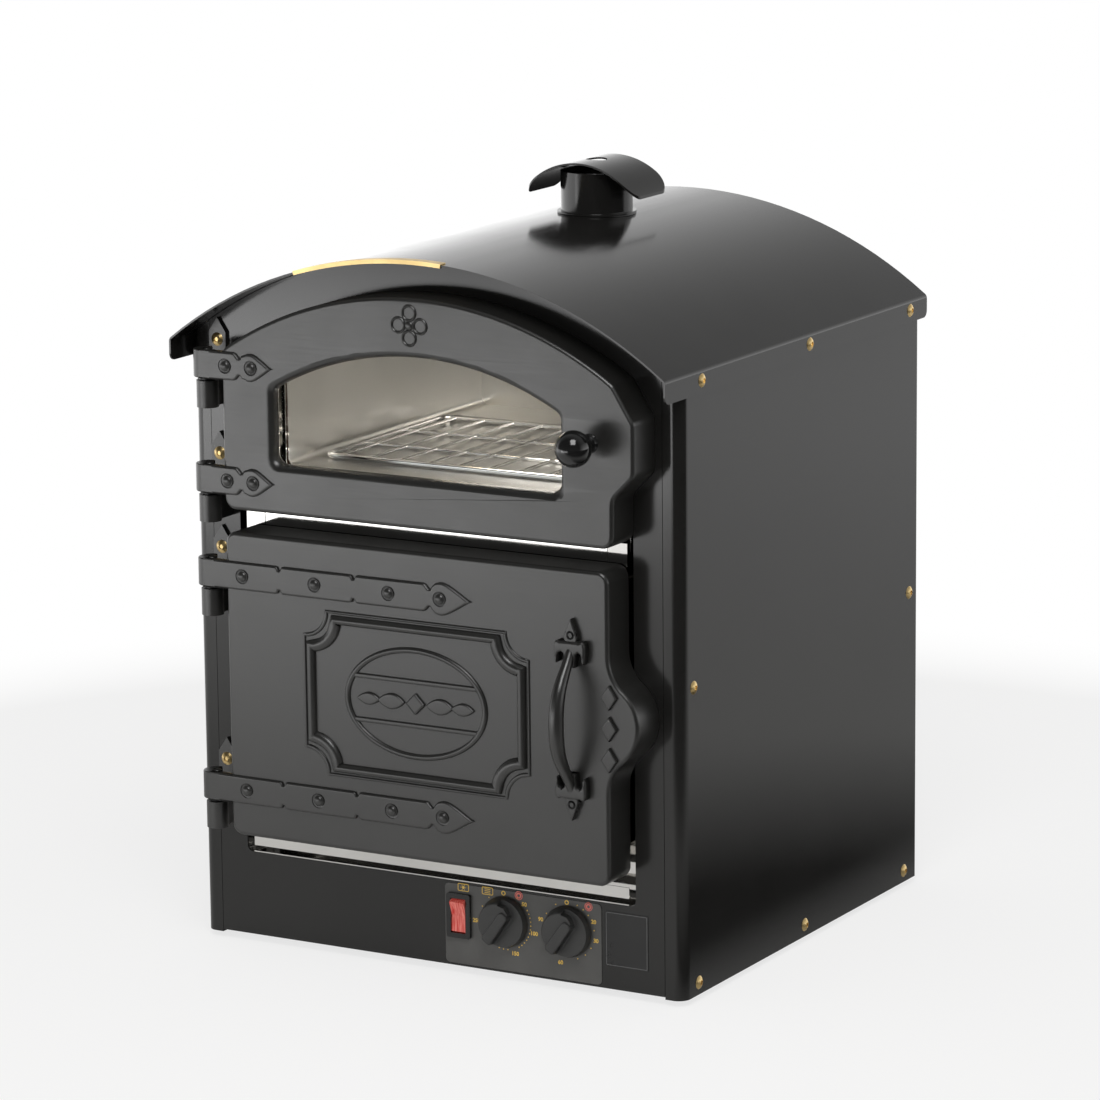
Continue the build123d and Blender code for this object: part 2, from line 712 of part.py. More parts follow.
lamp_x, lamp_depth = -60.0, 110.0
with BuildPart() as display_liner:
    extrude(upper_mouth(facing(liner_front), 1), amount=-(display_back_depth + 1 - liner_front))
    extrude(upper_mouth(facing(liner_front), 9), amount=-liner_sheet)
    extrude(upper_mouth(facing(liner_front)), amount=-(display_back_depth - liner_front), mode=Mode.SUBTRACT)
    extrude(discs(level(display_floor_z - 5), [(0, duct_depth)], duct_r + fit_gap), amount=10,
            mode=Mode.SUBTRACT)
    extrude(discs(level(upper_arch_crown_z - 60), [(0, flue_depth)], flue_r + fit_gap), amount=60,
            mode=Mode.SUBTRACT)
    extrude(discs(level(upper_arch_crown_z - 60), [(lamp_x, lamp_depth)], 16 + fit_gap), amount=60,
            mode=Mode.SUBTRACT)
finish(display_liner.part, "display_liner")

with BuildPart() as transfer_duct:
    duct_low = oven_ceiling_z - 3
    duct_high = display_floor_z + 3
    extrude(discs(level(duct_low), [(0, duct_depth)], duct_r), amount=duct_high - duct_low)
    extrude(discs(level(duct_low), [(0, duct_depth)], duct_r - 1), amount=duct_high - duct_low,
            mode=Mode.SUBTRACT)
finish(transfer_duct.part, "transfer_duct")

insulation_front = liner_front + liner_sheet + fit_gap
insulation_back = oven_back_depth + 1 + insulation_thick
oven_wool_low_z = oven_floor_z - 1 - insulation_thick
oven_wool_high_z = oven_ceiling_z + 1 + insulation_thick
with BuildPart() as oven_insulation:
    extrude(rectangle(facing(insulation_front), -insulation_half, insulation_half, oven_wool_low_z,
                      oven_wool_high_z, 4), amount=-(insulation_back - insulation_front))
    extrude(lower_mouth(facing(insulation_front), 1 + fit_gap, 1),
            amount=-(oven_back_depth + 1 + fit_gap - insulation_front), mode=Mode.SUBTRACT)
    extrude(discs(facing(oven_back_depth - 5), [(0, fan_z)], 50), amount=-50, mode=Mode.SUBTRACT)
    extrude(discs(facing(oven_back_depth - 5), terminal_sites, 8), amount=-50, mode=Mode.SUBTRACT)
    extrude(discs(level(oven_ceiling_z - 5), [(0, duct_depth)], duct_r + fit_gap), amount=60,
            mode=Mode.SUBTRACT)
finish(oven_insulation.part, "oven_insulation")

with BuildPart() as display_insulation:
    extrude(under_roof(facing(insulation_front), 8, insulation_half, oven_wool_high_z + fit_gap),
            amount=-(insulation_back - insulation_front))
    extrude(upper_mouth(facing(insulation_front), 1 + fit_gap),
            amount=-(display_back_depth + 1 + fit_gap - insulation_front), mode=Mode.SUBTRACT)
    extrude(discs(level(oven_wool_high_z - 5), [(0, duct_depth)], duct_r + fit_gap), amount=60,
            mode=Mode.SUBTRACT)
    extrude(discs(level(display_floor_z + 40), [(0, flue_depth)], flue_r + fit_gap), amount=160,
            mode=Mode.SUBTRACT)
    extrude(discs(level(display_floor_z + 40), [(lamp_x, lamp_depth)], 21), amount=160,
            mode=Mode.SUBTRACT)
finish(display_insulation.part, "display_insulation")

with BuildPart() as support_rails:
    rail_foot_z = pan_floor_z + sheet
    for side in (-1, 1):
        x = side * 110
        height = oven_wool_low_z - fit_gap - rail_foot_z
        extrude(rectangle(level(rail_foot_z), x - 15, x + 15, 100, oven_back_depth + 10), amount=height)
        extrude(rectangle(level(rail_foot_z), x - 15 + sheet, x + 15 - sheet, 90, body_depth - 30),
                amount=height - sheet, mode=Mode.SUBTRACT)
finish(support_rails.part, "support_rails")

# ------------------------------------------------------------------ racks, heating and light
runner_front, runner_back = 36.0, guard_depth - 8
runner_low_z, runner_high_z = oven_floor_z + 22, rack_zs[1] + 25
with BuildPart() as rack_runners:
    for side in (-1, 1):
        wall = side * (mouth_half - fit_gap)
        extrude(rectangle(facing(runner_front), *sorted((wall, wall - side)), runner_low_z, runner_high_z),
                amount=-(runner_back - runner_front))
        for z in rack_zs:
            extrude(rectangle(facing(runner_front), *sorted((wall, wall - side * 13)), z - 1, z),
                    amount=-(runner_back - runner_front))
finish(rack_runners.part, "rack_runners")


def wire_rack(name, half, front, back, z, pitch):
    """Chromed shelf: a frame of heavy wire and finer wires across it from front to back."""
    centre_z = z + frame_wire_r
    corners = [(-half, front), (half, front), (half, back), (-half, back)]
    with BuildPart() as rack:
        with BuildLine(level(centre_z)) as loop:
            FilletPolyline(*corners, radius=12, close=True)
        with BuildSketch(Plane(origin=(0, fascia_y + front, centre_z), x_dir=(0, 0, 1), z_dir=(1, 0, 0))):
            Circle(frame_wire_r)
        sweep(path=loop.wires()[0])
        count = int((2 * half - 24) / pitch)
        for i in range(count + 1):
            x = -half + 12 + (2 * half - 24) * i / count
            extrude(discs(facing(front), [(x, centre_z)], wire_r), amount=-(back - front))
        for depth in (front + (back - front) / 3, front + (back - front) * 2 / 3):
            extrude(discs(sideways(-half), [(depth, centre_z - frame_wire_r + wire_r)], wire_r),
                    amount=2 * half)
    finish(rack.part, name)


rack_front = surround_depth + rack_travel + 8
rack_back = guard_depth - 12
rack_half = mouth_half - 6
for number, rack_z in enumerate(rack_zs):
    wire_rack(("lower_oven_rack", "upper_oven_rack")[number], rack_half, rack_front, rack_back,
              rack_z + fit_gap, 26)
wire_rack("display_rack", mouth_half - 10, 60, display_back_depth - 80,
          display_floor_z + fit_gap, 26)

with BuildPart() as fan_guard:
    guard_half = mouth_half - 22
    extrude(rectangle(facing(guard_depth), -guard_half, guard_half, oven_floor_z + 3, oven_ceiling_z - 3, 5),
            amount=-liner_sheet)
    for ring, count in ((20, 8), (36, 14), (52, 20)):
        with BuildSketch(facing(guard_depth - 2)) as holes:
            with Locations((0, fan_z)):
                with PolarLocations(ring, count):
                    Circle(4.5)
        extrude(holes.sketch, amount=-5, mode=Mode.SUBTRACT)
    for side in (-1, 1):
        extrude(rectangle(facing(guard_depth), *sorted((side * guard_half, side * (guard_half - 1))),
                          oven_floor_z + 10, oven_ceiling_z - 10),
                amount=-(oven_back_depth - fit_gap - guard_depth))
finish(fan_guard.part, "fan_guard")

with BuildPart() as heating_element:
    with Locations(Location(facing(element_depth)) * Location((0, fan_z, 0))):
        Torus(element_r, element_wire_r)
    extrude(discs(facing(element_depth), terminal_sites, terminal_r), amount=-34)
finish(heating_element.part, "heating_element")

with BuildPart() as fan_impeller:
    extrude(discs(facing(fan_front + 18), [(0, fan_z)], 66), amount=-1.2)
    extrude(discs(facing(fan_front), [(0, fan_z)], 9), amount=-20)
    for i in range(8):
        turn = radians(45 * i)
        blade = Plane(origin=(44 * cos(turn), fascia_y + fan_front + 18, fan_z + 44 * sin(turn)),
                      x_dir=(cos(turn + 0.5), 0, sin(turn + 0.5)), z_dir=(0, -1, 0))
        with BuildSketch(blade) as section:
            Rectangle(36, 1.2)
        extrude(section.sketch, amount=17)
    extrude(discs(facing(fan_front - 1), [(0, fan_z)], 4 + 0.03), amount=-30, mode=Mode.SUBTRACT)
finish(fan_impeller.part, "fan_impeller")

motor_front = oven_back_depth + 14
with BuildPart() as fan_shaft:
    extrude(discs(facing(fan_front + 1), [(0, fan_z)], 4), amount=-(motor_front + 14 - fan_front))
finish(fan_shaft.part, "fan_shaft")

with BuildPart() as fan_motor:
    extrude(discs(facing(motor_front), [(0, fan_z)], 32), amount=-28)
    extrude(discs(facing(motor_front - 1), [(0, fan_z)], 46), amount=-2)
    with BuildSketch(facing(oven_back_depth + 1 + 0.1)) as spacers:
        with Locations((0, fan_z)):
            with PolarLocations(40, 3, 90):
                Circle(4)
    extrude(spacers.sketch, amount=-(motor_front - oven_back_depth - 2))
    extrude(discs(facing(motor_front - 2), [(0, fan_z)], 4 + pin_clearance), amount=-20, mode=Mode.SUBTRACT)
finish(fan_motor.part, "fan_motor")

lamp_top_z = upper_arch_crown_z - mouth_inset - 1
with BuildPart() as lamp_holder:
    extrude(discs(level(lamp_top_z - 6), [(lamp_x, lamp_depth)], 16), amount=30)
    extrude(discs(level(lamp_top_z - 5.2), [(lamp_x, lamp_depth)], 20), amount=4)
    with BuildSketch(facing(lamp_depth - 30)) as chamber_round:
        with Locations((upper_door_x, upper_arch_centre_z)):
            Circle(upper_arch_r - mouth_inset + 0.2)
    with BuildSketch(level(lamp_top_z - 20)) as rim:
        with Locations((lamp_x, lamp_depth)):
            Circle(30)
            Circle(16, mode=Mode.SUBTRACT)
    trimming = extrude(chamber_round.sketch, amount=-60, mode=Mode.PRIVATE) & extrude(
        rim.sketch, amount=60, mode=Mode.PRIVATE
    )
    add(trimming, mode=Mode.SUBTRACT)
    extrude(discs(level(lamp_top_z - 10), [(lamp_x, lamp_depth)], 7 + 0.05), amount=24, mode=Mode.SUBTRACT)
finish(lamp_holder.part, "lamp_holder")

with BuildPart() as display_lamp:
    with Locations(Location(level(lamp_top_z - 14)) * Location((lamp_x, lamp_depth, 0))):
        Sphere(10)
    extrude(discs(level(lamp_top_z - 12), [(lamp_x, lamp_depth)], 7), amount=24)
finish(display_lamp.part, "display_lamp")

# ------------------------------------------------------------------ hinges and catches
with BuildPart() as hinge_brackets:
    for top in bracket_sites:
        low = top - knuckle_height
        left, right = bracket_x - bracket_width / 2, bracket_x + bracket_width / 2
        with BuildSketch(facing(0)) as plate:
            with BuildLine():
                Polyline(
                    (left, low), (right, low), (right, top + bracket_screw_rise + 6),
                    (bracket_x, top + bracket_tip_rise), (left, top + bracket_screw_rise + 6), close=True,
                )
            make_face()
        extrude(plate.sketch, amount=bracket_thick)
        extrude(rectangle(facing(0), hinge_x - 6, hinge_x + 4, low, top), amount=-hinge_depth)
        extrude(discs(level(low), [(hinge_x, hinge_depth)], knuckle_r), amount=knuckle_height)
    extrude(discs(level(0), [(hinge_x, hinge_depth)], pin_r + 0.02), amount=roof_crown_z, mode=Mode.SUBTRACT)
    extrude(discs(facing(5), [(bracket_x, z + bracket_screw_rise) for z in bracket_sites],
                  shank_r + hole_clearance), amount=20, mode=Mode.SUBTRACT)
finish(hinge_brackets.part, "hinge_brackets")

with BuildPart() as hinge_pins:
    for top in bracket_sites:
        pin_length = knuckle_height + collar_height + strap_height - 2
        extrude(discs(level(top - knuckle_height + 0.5), [(hinge_x, hinge_depth)], pin_r), amount=pin_length)
        extrude(discs(level(top), [(hinge_x, hinge_depth)], collar_r), amount=collar_height - 0.2)
finish(hinge_pins.part, "hinge_pins")

catch_zs = (lower_lobe_z, (upper_lobe_low_z + upper_lobe_high_z) / 2)
with BuildPart() as catch_magnets:
    for z in catch_zs:
        extrude(rectangle(facing(1.2), catch_near_x, catch_far_x, z - 15, z + 15, 1), amount=-(surround_depth - 1.2))
finish(catch_magnets.part, "catch_magnets")

for catch_name, z in zip(("lower_strike_plate", "upper_strike_plate"), catch_zs):
    with BuildPart() as strike_plate:
        extrude(rectangle(facing(-door_rear_gap), catch_near_x, catch_far_x, z - 15, z + 15, 1), amount=-1.6)
    finish(strike_plate.part, catch_name)


# ------------------------------------------------------------------ doors
def strap_outline(z, notches, spear_x, tip_x):
    """A strap hinge's face: a plain band with notches along its edges and a spearhead at its end."""
    half = strap_height / 2
    spear_half = half + 3 if notches else half
    neck = spear_x - 12
    with BuildSketch(facing(-door_proud)) as strap:
        with BuildLine():
            Polyline(
                (hinge_x, z - half), (neck, z - half), (neck, z + half), (hinge_x, z + half), close=True
            )
        make_face()
        for x in notches:
            for edge in (z - half, z + half):
                with Locations((x, edge)):
                    Circle(2.2, mode=Mode.SUBTRACT)
        with BuildLine():
            Polyline((neck - 1, z - half + 4), (neck - 1, z + half - 4), (neck + 4, z + spear_half - 3),
                     (spear_x, z + spear_half), (tip_x, z), (spear_x, z - spear_half),
                     (neck + 4, z - spear_half + 3), close=True)
        make_face()
    return strap.sketch


def rolled_end(z):
    """The strap's rolled end round the hinge pin, as a horizontal outline."""
    with BuildSketch(level(z - strap_height / 2)) as roll:
        with Locations((hinge_x, hinge_depth)):
            Circle(roll_r)
        with Locations(((hinge_x + door_left_x + 2) / 2, -door_proud + 1.5)):
            Rectangle(door_left_x + 2 - hinge_x, 8)
    return roll.sketch


def scooped(width, height, scoop):
    """Rectangle about the cartouche's centre with scooped corners."""
    with BuildSketch(facing(-door_proud)) as shape:
        with Locations((cartouche_x, cartouche_z)):
            Rectangle(width, height)
        with Locations(*[(cartouche_x + i * width / 2, cartouche_z + j * height / 2)
                         for i in (-1, 1) for j in (-1, 1)]):
            Circle(scoop, mode=Mode.SUBTRACT)
    return shape.sketch


def lower_lobe(plane, grow=0.0):
    """The lower door's rounded lobe, joined to the edge by two tangent hollows."""
    edge = lower_door_right_x + grow
    out = lower_lobe_reach * 0.51
    round_r = (lower_lobe_half**2 + out**2) / (2 * out)
    turn = asin(lower_lobe_half / round_r)
    hollow_r = (lower_lobe_reach - out) / (1 - cos(turn))
    foot = lower_lobe_half + hollow_r * sin(turn)
    knee_x = edge + lower_lobe_reach - out
    with BuildSketch(plane) as lobe:
        with BuildLine():
            for side in (-1, 1):
                ThreePointArc(
                    (edge, lower_lobe_z + side * foot),
                    (edge + hollow_r * (1 - cos(turn / 2)),
                     lower_lobe_z + side * (foot - hollow_r * sin(turn / 2))),
                    (knee_x, lower_lobe_z + side * lower_lobe_half),
                )
            ThreePointArc((knee_x, lower_lobe_z - lower_lobe_half), (edge + lower_lobe_reach, lower_lobe_z),
                          (knee_x, lower_lobe_z + lower_lobe_half))
            Polyline((edge, lower_lobe_z + foot), (edge - 20, lower_lobe_z + foot),
                     (edge - 20, lower_lobe_z - foot), (edge, lower_lobe_z - foot))
        make_face()
    return lobe.sketch


def upper_lobe(plane, grow=0.0):
    """The upper door's angular lobe with softened corners."""
    edge = upper_door_right_x + grow
    out = upper_lobe_x + grow
    foot_z = upper_lobe_low_z - upper_lobe_foot
    head_z = upper_lobe_high_z + upper_lobe_foot + 4
    with BuildSketch(plane) as lobe:
        with BuildLine():
            Polyline(
                (edge - 20, foot_z - 12), (edge, foot_z - 12), (edge, foot_z), (out, upper_lobe_low_z),
                (out, upper_lobe_high_z), (edge, head_z), (edge - 20, head_z), close=True,
            )
        make_face()
        fillet(nearest(lobe, out, upper_lobe_low_z), 9)
        fillet(nearest(lobe, out, upper_lobe_high_z), 9)
        fillet(nearest(lobe, edge, foot_z), 12)
    return lobe.sketch


door_depth = door_proud - door_rear_gap
rear = facing(-door_rear_gap)
with BuildPart() as lower_door_casting:
    extrude(lower_outline(facing(-door_proud)) + lower_lobe(facing(-door_proud)), amount=-door_depth)
    rims = lower_door_casting.faces().sort_by(Axis.Y)[0].edges()
    fillet(rims, door_edge_r)
    extrude(lower_outline(rear, -door_wall, 6), amount=door_depth - lower_face_wall, mode=Mode.SUBTRACT)
    for z in lower_strap_zs:
        extrude(strap_outline(z, notch_xs, lower_strap_spear_x, lower_strap_tip_x),
                amount=strap_raise)
        extrude(rolled_end(z), amount=strap_height)
        extrude(discs(facing(-door_proud - strap_raise), [(x, z) for x in lower_rivet_xs], rivet_r),
                amount=rivet_height)
    extrude(scooped(cartouche_width, cartouche_height, cartouche_scoop)
            - scooped(cartouche_width - 2 * cartouche_band, cartouche_height - 2 * cartouche_band,
                      cartouche_scoop + cartouche_band * 0.3), amount=cartouche_raise)
    with BuildSketch(facing(-door_proud)) as medallion:
        with Locations((cartouche_x, cartouche_z)):
            Ellipse(oval_half_width, oval_half_height)
            Ellipse(oval_half_width - oval_band, oval_half_height - oval_band, mode=Mode.SUBTRACT)
        for rise in (-oval_bar_rise, oval_bar_rise):
            with Locations((cartouche_x, cartouche_z + rise)):
                Rectangle(2 * oval_half_width * 0.9, 2.4)
        with Locations((cartouche_x, cartouche_z)):
            with Locations((0, 0)):
                RegularPolygon(9, 4, rotation=0)
            with Locations((-30, 0), (30, 0)):
                SlotOverall(34, 4)
    extrude(medallion.sketch, amount=oval_raise)
    with BuildSketch(facing(-door_proud)) as lozenges:
        with Locations(*[(lower_door_right_x + 1.5, lower_lobe_z + i * 25 - 1.5) for i in (-1, 0, 1)]):
            RegularPolygon(8, 4)
    extrude(lozenges.sketch, amount=1.5)
    extrude(discs(level(0), [(hinge_x, hinge_depth)], pin_r + pin_clearance), amount=roof_crown_z,
            mode=Mode.SUBTRACT)
    extrude(discs(facing(0), [(handle_x, handle_z + i * handle_screw_rise) for i in (-1, 1)],
                  shank_r + hole_clearance), amount=60, mode=Mode.SUBTRACT)
finish(lower_door_casting.part, "lower_door_casting")


def dished_panel(name, outline, closed, plug_corner):
    """Inner panel of a door: a flange inside the casting and a plug that enters the opening."""
    with BuildPart() as panel:
        extrude(outline(facing(-3), -door_wall - fit_gap, 6), amount=-liner_sheet)
        extrude(outline(facing(-3), -plug_inset, plug_corner), amount=-(plug_depth + 3))
        extrude(outline(facing(-3), -plug_inset - liner_sheet, plug_corner),
                amount=-(plug_depth + 3 - liner_sheet), mode=Mode.SUBTRACT)
        if not closed:
            extrude(outline(facing(-4), -mouth_inset - 1, plug_corner), amount=-30, mode=Mode.SUBTRACT)
    finish(panel.part, name)


def door_seal(name, outline, seal_corner):
    """Soft gasket on the plug's rear face that meets the surround."""
    with BuildPart() as seal:
        face = facing(plug_depth + 0.1)
        inner = outline(face, -seal_inset - seal_width, seal_corner)
        extrude(outline(face, -seal_inset, seal_corner) - inner,
                amount=-(surround_depth - fit_gap - plug_depth - 0.1))
    finish(seal.part, name)


dished_panel("lower_door_inner_panel", lower_outline, True, 6)
dished_panel("upper_door_inner_frame", upper_outline, False, 5)
door_seal("lower_door_seal", lower_outline, 6)
door_seal("upper_door_seal", upper_outline, 5)

with BuildPart() as lower_door_insulation:
    extrude(lower_outline(facing(-door_proud + lower_face_wall + fit_gap), -door_wall - fit_gap, 5),
            amount=-(door_proud - lower_face_wall - 3 - 2 * fit_gap))
    extrude(lower_outline(facing(-5), -plug_inset - liner_sheet - fit_gap, 5),
            amount=-(plug_depth + 5 - liner_sheet - fit_gap))
    extrude(discs(facing(0), [(handle_x, handle_z + i * handle_screw_rise) for i in (-1, 1)], 6), amount=60,
            mode=Mode.SUBTRACT)
finish(lower_door_insulation.part, "lower_door_insulation")

with BuildPart() as upper_door_casting:
    extrude(upper_outline(facing(-door_proud)) + upper_lobe(facing(-door_proud)), amount=-door_depth)
    rims = upper_door_casting.faces().sort_by(Axis.Y)[0].edges()
    fillet(rims, door_edge_r)
    extrude(upper_outline(rear, -door_wall, 5), amount=door_depth - upper_face_wall, mode=Mode.SUBTRACT)
    glass_plane = facing(-door_proud + upper_face_wall)
    loft([window(glass_plane).face(), window(facing(-door_proud), window_bevel).face()], mode=Mode.SUBTRACT)
    for z in upper_strap_zs:
        extrude(strap_outline(z, (), upper_strap_spear_x, upper_strap_tip_x), amount=strap_raise)
        extrude(rolled_end(z), amount=strap_height)
        extrude(discs(facing(-door_proud - strap_raise), [(x, z) for x in upper_rivet_xs], rivet_r),
                amount=rivet_height)
    with BuildSketch(facing(-door_proud)) as rosette:
        with Locations((upper_door_x - 2, rosette_z)):
            Circle(4)
            with PolarLocations(10, 4):
                Circle(rosette_r)
                Circle(rosette_r - 2.4, mode=Mode.SUBTRACT)
    extrude(rosette.sketch, amount=1.5)
    extrude(discs(level(0), [(hinge_x, hinge_depth)], pin_r + pin_clearance), amount=roof_crown_z,
            mode=Mode.SUBTRACT)
    extrude(discs(facing(0), [(ball_x, ball_z)], 3 + hole_clearance), amount=60, mode=Mode.SUBTRACT)
finish(upper_door_casting.part, "upper_door_casting")

glass_front = -door_proud + upper_face_wall + 0.2
with BuildPart() as upper_door_glass:
    extrude(window(facing(glass_front), glass_lap), amount=-glass_thick)
finish(upper_door_glass.part, "upper_door_glass")

with BuildPart() as glass_retainer:
    seat = facing(glass_front - 0.1)
    extrude(window(seat, glass_lap + 7), amount=-(glass_thick + 0.3 + liner_sheet))
    extrude(window(seat, glass_lap + fit_gap), amount=-(glass_thick + 0.3), mode=Mode.SUBTRACT)
    extrude(window(seat, 2), amount=-20, mode=Mode.SUBTRACT)
finish(glass_retainer.part, "glass_retainer")

with BuildPart() as upper_door_knob:
    with Locations(Location(facing(-door_proud - ball_standoff)) * Location((ball_x, ball_z, 0))):
        Sphere(ball_r)
    extrude(discs(facing(-door_proud), [(ball_x, ball_z)], 5), amount=ball_standoff)
    extrude(discs(facing(-door_proud), [(ball_x, ball_z)], 3), amount=-upper_face_wall - 6)
    with BuildSketch(facing(-door_proud + upper_face_wall)) as nut:
        with Locations((ball_x, ball_z)):
            RegularPolygon(6, 6)
    extrude(nut.sketch, amount=-4)
finish(upper_door_knob.part, "upper_door_knob")

with BuildPart() as lower_door_handle:
    for side in (-1, 1):
        base_z = handle_z + side * handle_base_rise
        with BuildSketch(facing(-door_proud)) as base:
            with Locations((handle_x, base_z)):
                Circle(9)
            with Locations((handle_x - 11, base_z - side * 1), (handle_x + 11, base_z - side * 1)):
                Circle(6.5)
            with Locations((handle_x, handle_z + side * handle_screw_rise)):
                Circle(7.5)
            with BuildLine():
                Polyline((handle_x - 7, handle_z + side * (handle_screw_rise + 2)),
                         (handle_x, handle_z + side * (handle_screw_rise + 15)),
                         (handle_x + 7, handle_z + side * (handle_screw_rise + 2)), close=True)
            make_face()
        extrude(base.sketch, amount=handle_plate)
    grip_end = handle_base_rise - 2
    with BuildLine() as bow:
        ThreePointArc(
            (handle_x, fascia_y - door_proud - 2, handle_z + grip_end),
            (handle_x, fascia_y - door_proud - handle_reach, handle_z),
            (handle_x, fascia_y - door_proud - 2, handle_z - grip_end),
        )
    with BuildSketch(Plane(origin=bow.line @ 0, z_dir=bow.line % 0)) as grip_section:
        Circle(grip_r)
    sweep(grip_section.sketch, path=bow.line)
    with BuildSketch(facing(-door_proud)) as behind_face:
        with Locations((handle_x, handle_z)):
            Rectangle(60, 200)
    extrude(behind_face.sketch, amount=-20, mode=Mode.SUBTRACT)
    extrude(discs(facing(0), [(handle_x, handle_z + i * handle_screw_rise) for i in (-1, 1)],
                  shank_r + hole_clearance), amount=60, mode=Mode.SUBTRACT)
finish(lower_door_handle.part, "lower_door_handle")

handle_planes = []
for i in (-1, 1):
    handle_planes.append(Plane(origin=(handle_x, fascia_y - door_proud - handle_plate,
                                       handle_z + i * handle_screw_rise), x_dir=(1, 0, 0), z_dir=(0, -1, 0)))
screws("handle_screws", handle_planes, 14)

# ------------------------------------------------------------------ controls
with BuildPart() as control_label:
    extrude(rectangle(facing(0), label_left_x, label_right_x, label_bottom_z, label_top_z, 4),
            amount=label_thick)
    extrude(discs(facing(1), [(thermostat_x, knob_z), (timer_x, knob_z)], 5.2), amount=10, mode=Mode.SUBTRACT)
    extrude(rectangle(facing(1), switch_x - switch_width / 2 + 1.5, switch_x + switch_width / 2 - 1.5,
                      switch_z - switch_height / 2 + 2, switch_z + switch_height / 2 - 2), amount=10,
            mode=Mode.SUBTRACT)
finish(control_label.part, "control_label")

with BuildPart() as rating_plate:
    extrude(rectangle(facing(0), plate_left_x, plate_left_x + plate_width, plate_low_z,
                      plate_low_z + plate_height, 1), amount=0.5)
finish(rating_plate.part, "rating_plate")

with BuildPart() as switch_housing:
    x0, x1 = switch_x - switch_width / 2, switch_x + switch_width / 2
    z0, z1 = switch_z - switch_height / 2, switch_z + switch_height / 2
    extrude(rectangle(facing(-label_thick), x0, x1, z0, z1, 2), amount=3)
    extrude(rectangle(facing(-label_thick), x0 + 1.8, x1 - 1.8, z0 + 2.3, z1 - 2.3), amount=-30)
    well_x = rocker_width / 2 + fit_gap
    well_z = rocker_height / 2 + fit_gap
    extrude(rectangle(facing(-10), switch_x - well_x, switch_x + well_x, switch_z - well_z,
                      switch_z + well_z), amount=-16, mode=Mode.SUBTRACT)
    for i in (-1, 1):
        extrude(rectangle(facing(29), switch_x - 1, switch_x + 1, switch_z + i * 9 - 3, switch_z + i * 9 + 3),
                amount=-8)
finish(switch_housing.part, "switch_housing")

with BuildPart() as switch_rocker:
    lean = radians(rocker_tilt)
    rocker_plane = Plane(
        origin=(switch_x - rocker_width / 2, fascia_y + rocker_pivot_depth, switch_z),
        x_dir=(0, cos(lean), sin(lean)), z_dir=(1, 0, 0),
    )
    with BuildSketch(rocker_plane):
        Circle(rocker_height / 2 - 0.2)
        with BuildLine():
            Polyline((0, -20), (-7, -20), (-3, 0), (-7, 20), (0, 20), close=True)
        make_face(mode=Mode.INTERSECT)
        Circle(2.9)
    extrude(amount=rocker_width)
finish(switch_rocker.part, "switch_rocker")


def rotary_control(prefix, x, body_width_mm, body_depth_mm):
    """A thermostat or timer behind the fascia, with its spindle and its bar-grip knob."""
    with BuildPart() as body:
        extrude(rectangle(facing(sheet + 0.1), x - body_width_mm / 2, x + body_width_mm / 2,
                          knob_z - 16.5, knob_z + 16.5, 3), amount=-body_depth_mm)
        extrude(discs(facing(sheet + 0.1), [(x, knob_z)], 5), amount=sheet + label_thick + 2)
        extrude(discs(facing(sheet + 12), [(x, knob_z)], 3 + pin_clearance), amount=30, mode=Mode.SUBTRACT)
    finish(body.part, f"{prefix}_body")
    with BuildPart() as spindle:
        extrude(discs(facing(sheet + 11), [(x, knob_z)], 3), amount=sheet + 11 + label_thick + 12)
    finish(spindle.part, f"{prefix}_spindle")
    with BuildPart() as knob:
        skirt = facing(-label_thick - 1)
        extrude(discs(skirt, [(x, knob_z)], knob_r), amount=knob_depth - 4.5)
        fillet(knob.edges().group_by(Axis.Y)[0], 1.5)
        grip = Plane(origin=(x, skirt.origin.Y, knob_z), x_dir=(cos(radians(55)), 0, sin(radians(55))),
                     z_dir=(0, -1, 0))
        with BuildSketch(grip) as bar:
            RectangleRounded(2 * knob_r - 2, 10, 3)
        extrude(bar.sketch, amount=knob_depth)
        extrude(discs(facing(0), [(x, knob_z)], 6), amount=5, mode=Mode.SUBTRACT)
        extrude(discs(facing(0), [(x, knob_z)], 3 + 0.02), amount=label_thick + 12.3, mode=Mode.SUBTRACT)
    finish(knob.part, f"{prefix}_knob")


rotary_control("thermostat", thermostat_x, 38, 32)
rotary_control("timer", timer_x, 44, 40)
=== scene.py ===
"""Baked potato oven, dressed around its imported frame.

Laid out as an add-on: each piece or group of like pieces has an operator of its own, and one panel in the
3D view's sidebar lists them. Lengths in this file are millimetres and depths are measured backwards from
the fascia's front face. Blender's own units are metres.
"""

import json
import math

import bpy
from bpy.props import FloatProperty, FloatVectorProperty, PointerProperty
from bpy.types import NodeSocket, Operator, Panel, PropertyGroup
from mathutils import Euler, Matrix, Vector


